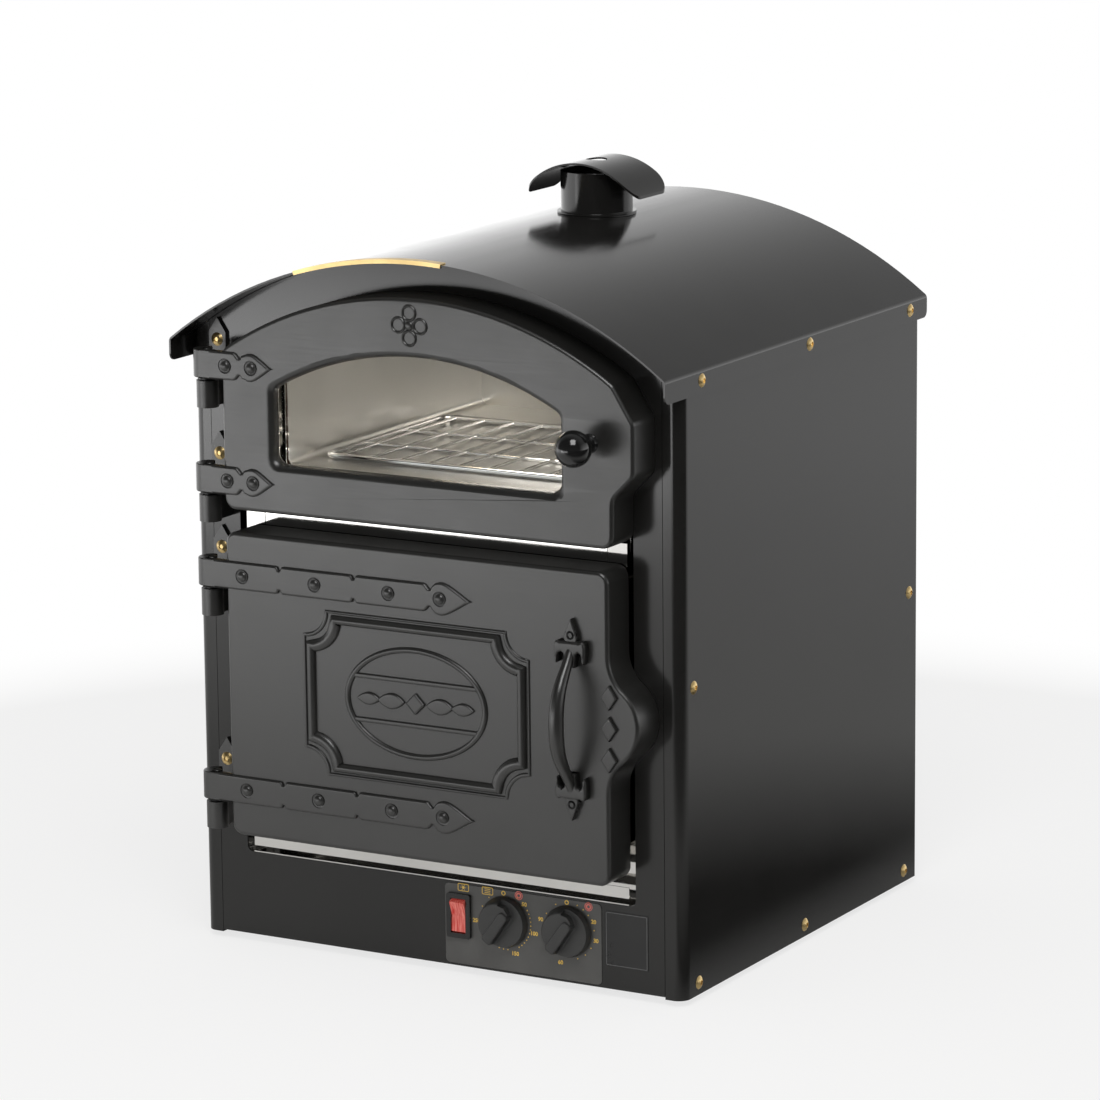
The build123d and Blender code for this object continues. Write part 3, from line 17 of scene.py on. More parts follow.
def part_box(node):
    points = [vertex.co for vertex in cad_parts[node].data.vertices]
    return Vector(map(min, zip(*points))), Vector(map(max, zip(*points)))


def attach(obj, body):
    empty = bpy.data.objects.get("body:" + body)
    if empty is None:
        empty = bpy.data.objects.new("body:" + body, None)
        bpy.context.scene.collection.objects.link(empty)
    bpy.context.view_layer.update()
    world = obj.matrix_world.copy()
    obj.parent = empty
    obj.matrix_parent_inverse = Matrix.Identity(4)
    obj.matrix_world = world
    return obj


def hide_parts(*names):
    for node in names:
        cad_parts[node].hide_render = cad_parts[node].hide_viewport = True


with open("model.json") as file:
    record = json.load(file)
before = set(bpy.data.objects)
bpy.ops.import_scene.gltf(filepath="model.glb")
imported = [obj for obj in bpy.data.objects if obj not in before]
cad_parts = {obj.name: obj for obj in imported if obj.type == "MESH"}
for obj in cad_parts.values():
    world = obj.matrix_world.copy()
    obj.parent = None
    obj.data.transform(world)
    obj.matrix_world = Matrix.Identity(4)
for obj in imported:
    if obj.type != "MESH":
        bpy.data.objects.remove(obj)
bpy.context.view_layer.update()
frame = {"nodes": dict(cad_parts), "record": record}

bl_info = {
    "name": "Baked potato oven",
    "version": (1, 0, 0),
    "blender": (4, 5, 0),
    "location": "3D View > Sidebar > Oven",
    "description": "Detailed pieces, finishes and stage of a countertop baked potato oven",
    "category": "Object",
}

MM = 0.001
SEAM = 0.00002
FASCIA_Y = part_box("fascia")[0].y

# both doors' front faces and rears, and the axis of their pins
DOOR_FACE, DOOR_REAR = -35.0, -0.8
HINGE_X, HINGE_DEPTH = -193.0, -26.5

# the display door: its middle, the centres of its two arches and its window
UPPER_X, ARCH_Z = 4.5, 236.0
WINDOW_ARCH_Z, WINDOW_RADIUS, WINDOW_HALF, WINDOW_LOW = 243.6, 264.0, 130.75, 412.0

# the oven door's ornament and handle, and the control knobs
CARTOUCHE_X, CARTOUCHE_Z, LOBE_X = 3.5, 230.0, 179.5
HANDLE_X, HANDLE_Z = 147.5, 234.0
THERMOSTAT_X, TIMER_X, KNOB_Z = 63.0, 121.2, 50.0

# front and back of the bare steel sheets behind the doors, and of the prints
SHEET, PRINT = (0.8, 1.8), (-0.68, -0.55)
CAMERA_PLACE = (2.0697, -3.61, 1.199)


# ---- outlines
def polar(x, z, reach, turn):
    """The point at a distance from a centre, in a direction given in degrees."""
    return x + reach * math.cos(math.radians(turn)), z + reach * math.sin(math.radians(turn))


def arc(x, z, radius, start, end, steps):
    """Points along an arc about (x, z), from the start angle to the end angle in degrees."""
    return [polar(x, z, radius, start + (end - start) * i / steps) for i in range(steps + 1)]


def ellipse(x, z, half_width, half_height, steps=72):
    """Closed oval outline."""
    turns = [2 * math.pi * i / steps for i in range(steps)]
    return [(x + half_width * math.cos(t), z + half_height * math.sin(t)) for t in turns]


def rounded(corners, steps=7):
    """Closed outline through corners (x, z) or (x, z, radius), each corner turned by its radius."""
    outline = []
    for i, corner in enumerate(corners):
        here = Vector(corner[:2])
        radius = corner[2] if len(corner) > 2 else 0.0
        back = (Vector(corners[i - 1][:2]) - here).normalized()
        ahead = (Vector(corners[(i + 1) % len(corners)][:2]) - here).normalized()
        half = math.acos(max(-1.0, min(1.0, back.dot(ahead)))) / 2
        if radius <= 0 or half > math.radians(89):
            outline.append(tuple(here))
            continue
        centre = here + (back + ahead).normalized() * radius / math.sin(half)
        first = here + back * radius / math.tan(half) - centre
        last = here + ahead * radius / math.tan(half) - centre
        sweep = math.atan2(first.x * last.y - first.y * last.x, first.dot(last))
        for k in range(steps + 1):
            outline.append(tuple(centre + Matrix.Rotation(sweep * k / steps, 2) @ first))
    return outline


def rectangle(x0, z0, x1, z1, radius=0.0, steps=7):
    """Rectangle between two corners, with round corners where a radius is given."""
    return rounded([(x0, z0, radius), (x1, z0, radius), (x1, z1, radius), (x0, z1, radius)], steps)


def upper_door_outline():
    """The arched door with its lobe."""
    corners = [(-174, 371.5, 10), (182.6, 371.5, 10), (183, 411, 13), (201.8, 430, 10), (201.8, 472, 9),
               (184, 500.6, 8)]
    corners += arc(UPPER_X, ARCH_Z, 320, 57.5, 122.5, 44)
    return rounded(corners + [(-174, 501.6, 9)])


def upper_door_pocket():
    """The hollow behind the arched door's face."""
    corners = [(-168, 377.5, 5), (177, 377.5, 5), (177, 498.3, 5)]
    corners += arc(UPPER_X, ARCH_Z, 314, 58.5, 121.5, 40)
    return rounded(corners + [(-168, 498.3, 5)])


def window_outline(grow=0.0):
    """The display window."""
    half, low, radius = WINDOW_HALF + grow, WINDOW_LOW - grow, WINDOW_RADIUS + grow
    rise = math.degrees(math.acos(half / radius))
    high = WINDOW_ARCH_Z + radius * math.sin(math.radians(rise))
    corners = [(UPPER_X - half, low, 9), (UPPER_X + half, low, 9), (UPPER_X + half, high, 9)]
    corners += arc(UPPER_X, WINDOW_ARCH_Z, radius, rise + 2.2, 177.8 - rise, 40)
    return rounded(corners + [(UPPER_X - half, high, 9)])


def lower_door_outline():
    """The oven door with its round lobe and the two hollows that lead into it."""
    left, edge, low, high, soft = -174, 178.0, 101, 353.5, 10
    middle, half, reach = 231.0, 28.0, 26.5
    out = reach * 0.51
    round_r = (half**2 + out**2) / (2 * out)
    turn = math.degrees(math.asin(half / round_r))
    hollow_r = (reach - out) / (1 - math.cos(math.radians(turn)))
    foot = half + hollow_r * math.sin(math.radians(turn))
    corners = [(left, high, soft), (left, low, soft), (edge, low, soft)]
    corners += arc(edge + hollow_r, middle - foot, hollow_r, 180, 180 - turn, 10)
    corners += arc(edge + reach - round_r, middle, round_r, -turn, turn, 20)[1:]
    corners += arc(edge + hollow_r, middle + foot, hollow_r, 180 + turn, 180, 10)[1:]
    return rounded(corners + [(edge, high, soft)])


# ---- modelling
def deselect():
    """Leaves nothing selected."""
    bpy.ops.object.select_all(action="DESELECT")


def only(piece):
    """Makes a piece the selected and active one."""
    deselect()
    piece.select_set(True)
    bpy.context.view_layer.objects.active = piece


def open_mesh(piece):
    """Opens a piece's mesh for editing, with all of it selected."""
    only(piece)
    bpy.ops.object.mode_set(mode="EDIT")
    bpy.ops.mesh.select_all(action="SELECT")


def close_mesh():
    """Ends the editing of a mesh."""
    bpy.ops.object.mode_set(mode="OBJECT")


def meshed(piece):
    """Turns a curve or a text into a mesh."""
    only(piece)
    bpy.ops.object.convert(target="MESH")
    return bpy.context.object


def settle(piece, angle=35.0):
    """Puts a piece's place into its mesh, closes its seams and smooths it up to an angle."""
    only(piece)
    if piece.type != "MESH":
        piece = meshed(piece)
    bpy.ops.object.transform_apply(location=True, rotation=True, scale=True)
    open_mesh(piece)
    bpy.ops.mesh.remove_doubles(threshold=SEAM)
    bpy.ops.mesh.normals_make_consistent(inside=False)
    close_mesh()
    bpy.ops.object.shade_smooth_by_angle(angle=math.radians(angle))
    return piece


def stood_up(piece, x, depth, z, angle=35.0):
    """Turns a piece that is drawn flat to face the front, and settles it at its place."""
    piece.rotation_euler = (math.pi / 2, 0, 0)
    piece.location = (x * MM, FASCIA_Y + depth * MM, z * MM)
    return settle(piece, angle)


def bare_curve(name, dimensions="3D"):
    """A curve without a line in it."""
    deselect()
    bpy.ops.curve.primitive_bezier_circle_add(location=(0, 0, 0))
    piece = bpy.context.object
    piece.name = name
    piece.data.splines.clear()
    piece.data.dimensions = dimensions
    return piece


def add_line(piece, points, kind="POLY", closed=False):
    """Adds a line through points to a curve."""
    line = piece.data.splines.new(kind)
    line.points.add(len(points) - 1)
    for point, place in zip(line.points, points):
        point.co = (*(value * MM for value in place), 1)
    line.use_cyclic_u = closed
    return line


def flat_curve(name, loops, fill="BOTH"):
    """A curve whose closed outlines are given in its own plane."""
    piece = bare_curve(name, "2D")
    piece.data.fill_mode = fill
    for loop in loops:
        add_line(piece, [(x, z, 0) for x, z in loop], closed=True)
    return piece


def slab(name, loops, front, back, round_by=0.0, steps=3, lying=False):
    """A solid of the given outlines between two depths, its edges rounded.

    Lying, the outlines are seen from above in X and depth, and front and back are heights.
    """
    if lying:
        loops = [[(x, depth + FASCIA_Y / MM) for x, depth in loop] for loop in loops]
    piece = flat_curve(name, loops)
    piece.data.extrude = abs(back - front) / 2 * MM - round_by * MM
    piece.data.bevel_depth = round_by * MM
    piece.data.offset = -round_by * MM
    piece.data.bevel_resolution = steps
    piece = meshed(piece)
    middle = (front + back) / 2
    if not lying:
        return stood_up(piece, 0, middle, 0)
    piece.location = (0, 0, middle * MM)
    return settle(piece)


def lathe(name, profile, centre, steps=48):
    """A turned solid with its axis from front to back.

    The profile is a list of (radius, place along the axis), from pole to pole or closed.
    """
    piece = bare_curve(name)
    add_line(piece, [(radius, 0, place) for radius, place in profile])
    piece = meshed(piece)
    open_mesh(piece)
    bpy.ops.mesh.spin(steps=steps, angle=2 * math.pi, center=(0, 0, 0), axis=(0, 0, 1))
    close_mesh()
    return stood_up(piece, *centre, 40)


def tube(name, points, radii):
    """A smooth rod along points (x, depth, z) whose radius changes from point to point."""
    piece = bare_curve(name)
    line = add_line(piece, [(x, depth + FASCIA_Y / MM, z) for x, depth, z in points], "NURBS")
    for point, radius in zip(line.points, radii):
        point.radius = radius
    line.order_u = 4
    line.use_endpoint_u = True
    line.resolution_u = 10
    piece.data.bevel_depth = MM
    piece.data.bevel_resolution = 7
    piece.data.use_fill_caps = True
    return settle(piece, 60)


def moulding(name, outline, section):
    """Moulding raised on a door's face along a closed outline, its section given as (across, height)."""
    piece = flat_curve(name, [outline])
    piece.data.dimensions = "3D"
    edge = flat_curve("section", [section], "NONE")
    piece.data.bevel_mode = "OBJECT"
    piece.data.bevel_object = edge
    piece = meshed(piece)
    bpy.data.objects.remove(edge, do_unlink=True)
    return stood_up(piece, 0, DOOR_FACE, 0, 40)


def cut_behind(piece, depth):
    """Cuts a piece off behind a depth and closes it there."""
    open_mesh(piece)
    bpy.ops.mesh.bisect(plane_co=(0, FASCIA_Y + depth * MM, 0), plane_no=(0, 1, 0), use_fill=True,
                        clear_outer=True)
    close_mesh()
    settle(piece)


def apply_modifier(piece, kind, **settings):
    """Adds a modifier to a piece and applies it."""
    only(piece)
    modifier = piece.modifiers.new(kind.title(), kind)
    for name, value in settings.items():
        setattr(modifier, name, value)
    bpy.ops.object.modifier_apply(modifier=modifier.name)


def cut_out(piece, other):
    """Takes another closed solid out of a piece."""
    apply_modifier(piece, "BOOLEAN", operation="DIFFERENCE", solver="EXACT", object=other)
    bpy.data.objects.remove(other, do_unlink=True)


def joined(name, pieces):
    """One object made of several shells."""
    only(pieces[0])
    for piece in pieces[1:]:
        piece.select_set(True)
    if len(pieces) > 1:
        bpy.ops.object.join()
    pieces[0].name = name
    return pieces[0]


def softened(node, width, slot_name):
    """A cabinet node's own shape with its sharp edges softened, standing for that node."""
    piece = frame["nodes"][node].copy()
    piece.data = piece.data.copy()
    for key in [key for key in piece.keys() if key.startswith("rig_")]:
        del piece[key]
    piece.parent = None
    piece.name = f"{node}_shaped"
    bpy.context.scene.collection.objects.link(piece)
    only(piece)
    if piece.data.has_custom_normals:
        bpy.ops.mesh.customdata_custom_splitnormals_clear()
    open_mesh(piece)
    bpy.ops.mesh.remove_doubles(threshold=0.000002)
    bpy.ops.mesh.dissolve_limited(angle_limit=math.radians(0.5))
    close_mesh()
    apply_modifier(piece, "BEVEL", width=width * MM, segments=2, limit_method="ANGLE",
                   angle_limit=math.radians(50))
    bpy.ops.object.shade_smooth_by_angle(angle=math.radians(35))
    placed(piece, "cabinet", slot_name, node)


def placed(piece, body, slot_name, *nodes):
    """Hangs a piece on its body, gives it its slot's finish and hides the nodes it stands for."""
    # large faces set the shading, so that flat ones look flat up to their edges
    apply_modifier(piece, "WEIGHTED_NORMAL", mode="FACE_AREA", weight=90, keep_sharp=True)
    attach(piece, body)
    if nodes:
        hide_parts(*nodes)
    dress(piece, slot_name)


# ---- finishes
FINISHES = {}


def dress(piece, finish):
    """Gives a piece one finish in every one of its material slots."""
    if not piece.material_slots:
        piece.data.materials.append(FINISHES[finish])
    for material_slot in piece.material_slots:
        material_slot.material = FINISHES[finish]


def fill_inputs(tree, node, values):
    """Sets a node's inputs, or links those whose value is another node's output."""
    for key, value in values.items():
        if isinstance(value, NodeSocket):
            tree.links.new(value, node.inputs[key])
        else:
            node.inputs[key].default_value = value


def add_node(tree, kind, values=None, **settings):
    """A shader node with its settings and inputs."""
    node = tree.nodes.new(f"ShaderNode{kind}")
    for name, value in settings.items():
        setattr(node, name, value)
    fill_inputs(tree, node, values or {})
    return node


def maths(tree, operation, *values):
    """The result of a sum."""
    return add_node(tree, "Math", dict(enumerate(values)), operation=operation).outputs[0]


def ranged(tree, value, start, end, low=0.0, high=1.0, **settings):
    """A value that goes from low to high while another goes from start to end."""
    values = {"Value": value, "From Min": start, "From Max": end, "To Min": low, "To Max": high}
    return add_node(tree, "MapRange", values, **settings).outputs["Result"]


def blended(tree, share, first, second):
    """Two shaders mixed by a share."""
    return add_node(tree, "MixShader", {0: share, 1: first, 2: second}).outputs[0]


def new_material(name):
    """A material and its node tree."""
    material = bpy.data.materials.new(name)
    material.use_nodes = True
    return material, material.node_tree


def surface(name, colour, tint=None, metallic=0.0, rough=(0.35, 0.5), grain=900, stretch=(1, 1, 1),
            bump=0.03, depth=0.0002, patch=40, streaked=False, **sockets):
    """A finish of two noises: broad patches of colour and gloss, and a fine grain of gloss and bump."""
    material, tree = new_material(name)
    place = add_node(tree, "TexCoord").outputs["Object"]
    stretched = add_node(tree, "Mapping", {"Vector": place, "Scale": stretch}).outputs["Vector"]
    fine = add_node(tree, "TexNoise", {"Vector": stretched, "Scale": grain, "Detail": 3.0}).outputs["Fac"]
    broad = add_node(tree, "TexNoise", {"Vector": place, "Scale": patch, "Detail": 5.0,
                                        "Roughness": 0.6}).outputs["Fac"]
    grain_share = 0.35
    both = maths(tree, "MULTIPLY_ADD", fine, grain_share, maths(tree, "MULTIPLY", broad, 1 - grain_share))
    # streaked, the colour follows the fine grain; on the red lens its pale streaks are painted highlights
    ramp = add_node(tree, "ValToRGB", {"Fac": fine if streaked else broad})
    ends = ramp.color_ramp.elements
    ends[0].position, ends[1].position = 0.3, 0.72
    ends[0].color = (*colour, 1)
    ends[1].color = (*(tint or [c * 1.25 for c in colour]), 1)
    raised = add_node(tree, "Bump", {"Strength": bump, "Distance": depth, "Height": fine})
    fill_inputs(tree, tree.nodes["Principled BSDF"], {
        "Base Color": ramp.outputs["Color"], "Metallic": metallic, "Normal": raised.outputs["Normal"],
        "Roughness": ranged(tree, both, 0.3, 0.7, *rough),
        **{socket.replace("_", " "): value for socket, value in sockets.items()}})
    return material


def make_finishes(settings):
    """One finish for each material slot of the record, and a few for prints and knobs."""
    brass = tuple(settings.brass_colour)
    FINISHES.update({
        "black_coat": surface("Black powder coat", tuple(settings.coat_colour), rough=(0.13, 0.18),
            grain=1100, bump=0.012, depth=0.00008, patch=9, IOR=1.55),
        "cast_black": surface("Painted casting", tuple(settings.casting_colour), rough=(0.29, 0.37),
            grain=70, stretch=(0.35, 1, 9), bump=0.11, depth=0.0003, patch=16, IOR=1.75),
        "stainless": surface("Polished stainless", (0.66, 0.65, 0.63), rough=(0.03, 0.08), metallic=1,
            grain=160, stretch=(0.15, 1, 8), bump=0.012, depth=0.0001, patch=8),
        "chamber": surface("Chamber stainless", (0.6, 0.59, 0.57), rough=(0.28, 0.34), metallic=1, grain=90,
            stretch=(1, 1, 0.1), bump=0.0, depth=0.0001, patch=6),
        "zinc_sheet": surface("Galvanised sheet", (0.5, 0.51, 0.52), (0.68, 0.69, 0.7), metallic=1,
            rough=(0.35, 0.55), grain=300, patch=60),
        "chrome_wire": surface("Chromed wire", (0.72, 0.72, 0.72), metallic=1, rough=(0.08, 0.16),
            grain=600, bump=0.02, patch=30),
        "steel": surface("Turned steel", (0.5, 0.5, 0.5), metallic=1, rough=(0.25, 0.38), grain=500,
            stretch=(1, 1, 6), bump=0.05, patch=30),
        "brass": surface("Brass", brass, [c * 0.86 for c in brass], metallic=1, rough=(0.3, 0.42),
            grain=700),
        "door_screws": surface("Blackened screws", (0.03, 0.03, 0.03), metallic=1, rough=(0.28, 0.4),
            patch=60),
        "rubber": surface("Foot rubber", (0.012, 0.012, 0.012), rough=(0.6, 0.8), grain=1400, bump=0.15),
        "silicone": surface("Seal silicone", (0.05, 0.022, 0.015), (0.07, 0.03, 0.02), rough=(0.45, 0.6),
            bump=0.05, patch=30),
        "wool": surface("Mineral wool", (0.62, 0.55, 0.32), (0.8, 0.74, 0.5), rough=(0.85, 1.0), grain=500,
            stretch=(1, 1, 4), bump=0.9, depth=0.002, patch=60),
        "element": surface("Heating element sheath", (0.1, 0.08, 0.07), (0.22, 0.15, 0.11), metallic=1,
            rough=(0.45, 0.65), grain=700, bump=0.1, patch=50),
        "fan_metal": surface("Aluminised fan", (0.6, 0.6, 0.6), metallic=1, rough=(0.3, 0.45), grain=600,
            bump=0.04, patch=30),
        "motor": surface("Motor housing", (0.1, 0.11, 0.12), (0.15, 0.16, 0.17), metallic=0.4,
            rough=(0.4, 0.55), grain=800, bump=0.08, patch=30),
        "magnet": surface("Catch magnet", (0.07, 0.07, 0.07), rough=(0.4, 0.55), bump=0.06, patch=60),
        "ceramic": surface("Lamp ceramic", (0.82, 0.79, 0.72), rough=(0.3, 0.4), grain=500),
        "lamp": surface("Lamp glass", (1.0, 0.9, 0.7), rough=(0.3, 0.4), grain=200, bump=0.0,
            Emission_Color=(1.0, 0.84, 0.6, 1), Emission_Strength=6.0),
        "glass": surface("Door glass", (0.97, 0.98, 0.975), (0.99, 1.0, 0.99), rough=(0.0, 0.01), grain=90,
            bump=0.0, patch=20, Transmission_Weight=1.0, IOR=1.05, Specular_IOR_Level=0.5),
        "gloss_black": surface("Gloss black moulding", (0.008, 0.008, 0.008), rough=(0.1, 0.2), grain=700,
            bump=0.015, Coat_Weight=0.4, Coat_Roughness=0.08),
        "label": surface("Label foil", (0.085, 0.084, 0.08), rough=(0.3, 0.4), grain=1500, bump=0.04,
            depth=0.00008, patch=30),
        "plate": surface("Plate foil", (0.016, 0.016, 0.016), rough=(0.25, 0.35), grain=1500, depth=0.00008,
            patch=30),
        # painted highlight: the pale pink streaks in the red lens's colour stand in for its vertical
        # highlights
        "rocker": surface("Red lens", (0.5, 0.006, 0.005), (0.9, 0.36, 0.3), rough=(0.1, 0.16), grain=300,
            stretch=(3.2, 1, 0.22), bump=0.4, depth=0.001, patch=160, streaked=True,
            Emission_Color=(1.0, 0.04, 0.02, 1), Emission_Strength=0.12),
        "knob_black": surface("Satin black moulding", (0.036, 0.036, 0.035), rough=(0.42, 0.5), bump=0.04,
            depth=0.0001),
        "control_body": surface("Control body", (0.5, 0.47, 0.4), rough=(0.45, 0.6), grain=600, bump=0.05),
        "gland": surface("Gland nylon", (0.02, 0.02, 0.02), rough=(0.4, 0.5), bump=0.05, patch=60),
    })
    inks = {"Gold": (0.8, 0.52, 0.09), "Red": (0.72, 0.17, 0.14), "Grey": (0.15, 0.15, 0.15)}
    for ink, colour in inks.items():
        FINISHES[f"{ink.lower()}_print"] = surface(f"{ink} print", colour, grain=1200, bump=0.02, patch=90)


# ---- settings
class OvenSizes(PropertyGroup):
    """Sizes that change the detailed pieces."""

    rim_round: FloatProperty(name="Rim rounding", description="Rounding of the castings' rims",
                             default=0.0032, min=0.001, unit="LENGTH", subtype="DISTANCE")
    strap_raise: FloatProperty(name="Strap raise", description="Height of the hinge straps above the doors",
                               default=0.0025, unit="LENGTH", subtype="DISTANCE")
    grip_thickness: FloatProperty(name="Grip thickness", description="Thickness of the bow handle's middle",
                                  default=0.0122, unit="LENGTH", subtype="DISTANCE")
    moulding_width: FloatProperty(name="Moulding width", description="Width of the cartouche's moulding",
                                  default=0.0105, unit="LENGTH", subtype="DISTANCE")


class OvenColours(PropertyGroup):
    """Colours of the main finishes."""

    coat_colour: FloatVectorProperty(name="Powder coat", description="Colour of the cabinet's coat", size=3,
                                     default=(0.0125, 0.0122, 0.0115), min=0, max=1, subtype="COLOR")
    casting_colour: FloatVectorProperty(name="Castings", description="Colour of the painted castings",
                                        size=3, default=(0.0145, 0.0142, 0.0132), min=0, max=1,
                                        subtype="COLOR")
    brass_colour: FloatVectorProperty(name="Brass", description="Colour of the brass screws and trim",
                                      size=3, default=(0.85, 0.63, 0.29), min=0, max=1, subtype="COLOR")


class OvenStageSettings(PropertyGroup):
    """Camera and light of the stage."""

    lens: FloatProperty(name="Lens", description="Focal length in millimetres on a 36 mm sensor",
                        default=168.6)
    azimuth: FloatProperty(name="Azimuth", description="Camera's turn to the right of the front",
                           default=math.radians(29.762), subtype="ANGLE", unit="ROTATION")
    elevation: FloatProperty(name="Elevation", description="Camera's height angle",
                             default=math.radians(12.006), subtype="ANGLE", unit="ROTATION")
    roll: FloatProperty(name="Roll", description="Camera's turn about its own axis",
                        default=math.radians(-0.595), subtype="ANGLE", unit="ROTATION")
    key_strength: FloatProperty(name="Key light", description="Brightness of the front light's face",
                                default=2.3)
    ambient: FloatProperty(name="Ambient", description="Brightness of the room's diffuse light",
                           default=0.42)


# ---- door castings
def casting(context, name, outline, pocket, wall):
    """A door's casting with a rounded rim, hollow behind its face."""
    rim, beyond = context.scene.oven_sizes.rim_round / MM, 12
    face = slab(name, [outline], DOOR_FACE, beyond, rim, 5)
    cut_behind(face, DOOR_REAR)
    cut_out(face, slab("pocket", [pocket], DOOR_FACE + wall, beyond + 8))
    return face


class OVEN_OT_lower_door(Operator):
    """Oven door's casting: rounded face and rim with a hollow behind"""

    bl_idname = "oven.lower_door"
    bl_label = "Oven door casting"

    def execute(self, context):
        pocket = rectangle(-168, 107, 172, 347.5, 6)
        face = casting(context, "oven_door_face", lower_door_outline(), pocket, 6)
        screw, away = [(0, 0), (2, 0), (2, 60), (0, 60)], 68
        for z in (HANDLE_Z - away, HANDLE_Z + away):
            cut_out(face, lathe("hole", screw, (HANDLE_X, 5, z), 16))
        placed(settle(face), "lower_door", "cast_black", "lower_door_casting")
        return {"FINISHED"}


class OVEN_OT_upper_door(Operator):
    """Display door's casting: arched face, window opening and hollow behind"""

    bl_idname = "oven.upper_door"
    bl_label = "Display door casting"

    def execute(self, context):
        face = casting(context, "display_door_face", upper_door_outline(), upper_door_pocket(), 8)
        # the opening flares towards the front in a rounded reveal
        flare = [(0, 12), (0, 8), (0.5, 5.2), (1.6, 2.8), (3.4, 1), (6, 0), (6, -3)]
        cut_out(face, window_plug(flare))
        placed(settle(face, 30), "upper_door", "cast_black", "upper_door_casting")
        return {"FINISHED"}


def window_plug(flare):
    """A closed plug of the window's outline: each (growth, depth behind the face) is one of its rings."""
    rings = [window_outline(grow) for grow, _ in flare]
    count = len(rings[0])
    deselect()
    bpy.ops.mesh.primitive_circle_add(vertices=count, radius=1, fill_type="NGON")
    piece = bpy.context.object
    open_mesh(piece)
    for _ in rings[1:]:
        bpy.ops.mesh.extrude_region_move(TRANSFORM_OT_translate={"value": (0, 0, 1)})
    close_mesh()
    levels = sorted({round(v.co.z, 3) for v in piece.data.vertices})
    start = min(range(count), key=lambda k: abs(math.atan2(rings[0][k][1] - 460, rings[0][k][0] - UPPER_X)))
    for vertex in piece.data.vertices:
        level = levels.index(round(vertex.co.z, 3))
        turn = math.atan2(vertex.co.y, vertex.co.x) % (2 * math.pi)
        x, z = rings[level][(start + round(turn / (2 * math.pi) * count)) % count]
        vertex.co = (x * MM, FASCIA_Y + (DOOR_FACE + flare[level][1]) * MM, z * MM)
    return settle(piece)


# ---- straps
STRAP_HALF = 11.5
# (along, deep) at a strap's notch and neck, and (share, height) of its spade
NOTCH = ((-4.2, 0), (-1.6, 0.6), (-0.4, 3.2), (0.8, 3.2), (2.4, 0.4), (4.2, 0))
NECK = ((-5.5, 0), (-3.4, 0.8), (0, 4.4), (1.4, 4.4), (2.6, 2.2))
SPADE = ((0.18, 0.87), (0.38, 0.66), (0.6, 0.41), (0.8, 0.17), (0.9, 0.07))
RIVET = [(0, 2.3), (1.6, 2.15), (2.9, 1.7), (3.9, 0.9), (4.4, -0.2), (4.4, -1), (0, -1)]
RIVET_GROOVE = [(4.4, 1), (6.6, 1), (6, -0.7), (5, -0.9), (4.4, 1)]


def strap_outline(z, notches, neck, shoulder, tip, spade):
    """Strap from its rolled end to the point of its spade."""
    edge = z + STRAP_HALF
    top = [(-186, edge)]
    for x in notches:
        top += [(x + along, edge - deep) for along, deep in NOTCH]
    top += [(neck + along, edge - deep) for along, deep in NECK]
    top += [(neck + 2.6 + (shoulder - neck - 2.6) * 0.35, z + spade - 1.3), (shoulder - 1.5, z + spade - 0.1),
            (shoulder + 2, z + spade - 0.2)]
    rest = tip - shoulder - 2
    top += [(shoulder + 2 + rest * share, z + spade * height) for share, height in SPADE]
    return top + [(tip, z)] + [(x, 2 * z - v) for x, v in reversed(top)]


def strap(name, z, raise_by, notches, neck, shoulder, tip, spade, rivets):
    """One strap: plate with rounded edges, rolled end about the pin, and rivets in dark rings."""
    face = DOOR_FACE - raise_by
    outline = strap_outline(z, notches, neck, shoulder, tip, spade)
    plate = slab(name, [outline[::-1]], face - 0.02, DOOR_FACE + 3, 1.9, 5)
    cut_behind(plate, DOOR_FACE + 0.4)
    for x in rivets:
        cut_out(plate, lathe("groove", RIVET_GROOVE, (x, face, z), 32))
    roll = [(HINGE_X, -37.5), (-184, -37.5), (-183.6, -37), (-172.5, -36.8), (-172.5, -32.6), (-182, -32.6)]
    roll += arc(HINGE_X, HINGE_DEPTH, 11, -18, -270, 30)[1:-1]
    bore = arc(HINGE_X, HINGE_DEPTH, 4.1, 0, 345, 23)
    shells = [settle(plate), slab("roll", [roll, bore], z - STRAP_HALF, z + STRAP_HALF, 1, lying=True)]
    shells += [lathe("rivet", RIVET, (x, face, z), 32) for x in rivets]
    return joined(name, shells)


class OVEN_OT_straps(Operator):
    """Hinge straps with their rolled ends and rivets"""

    bl_idname = "oven.straps"
    bl_label = "Hinge straps"

    def execute(self, context):
        raise_by = context.scene.oven_sizes.strap_raise / MM
        for number, z in enumerate((140, 318), 1):
            placed(strap(f"oven_door_strap_{number}", z, raise_by, (-122.5, -52.5), 17.5, 28.5, 56.5, 13.4,
                         (-157, -88.5, -19.5, 28)), "lower_door", "cast_black")
        for number, z in enumerate((395.5, 489), 1):
            placed(strap(f"display_door_strap_{number}", z, raise_by, (), -156.5, -146.5, -125.5, 11.4,
                         (-169, -144.5)), "upper_door", "cast_black")
        return {"FINISHED"}


# ---- ornament
def scooped(half_width, half_height, scoop):
    """Rectangle about the cartouche's centre, each corner scooped out by a circle."""
    outline = []
    for x, z, start in ((1, 1, 270), (-1, 1, 360), (-1, -1, 90), (1, -1, 180)):
        corner = (CARTOUCHE_X + x * half_width, CARTOUCHE_Z + z * half_height)
        outline += arc(*corner, scoop, start, start - 90, 10)
    return outline


def half_round(width, height):
    """Section of a half-round moulding that sinks a little into what it lies on."""
    half, sink = width / 2, 0.6
    return [(half * x, height * z) for x, z in arc(0, 0, 1, 0, 180, 8)] + [(-half, -sink), (half, -sink)]


def raised(name, outline, height, soft):
    """A flat shape that stands up from a door's face with soft edges."""
    return slab(name, [outline], DOOR_FACE - height, DOOR_FACE + 1, soft, 4)


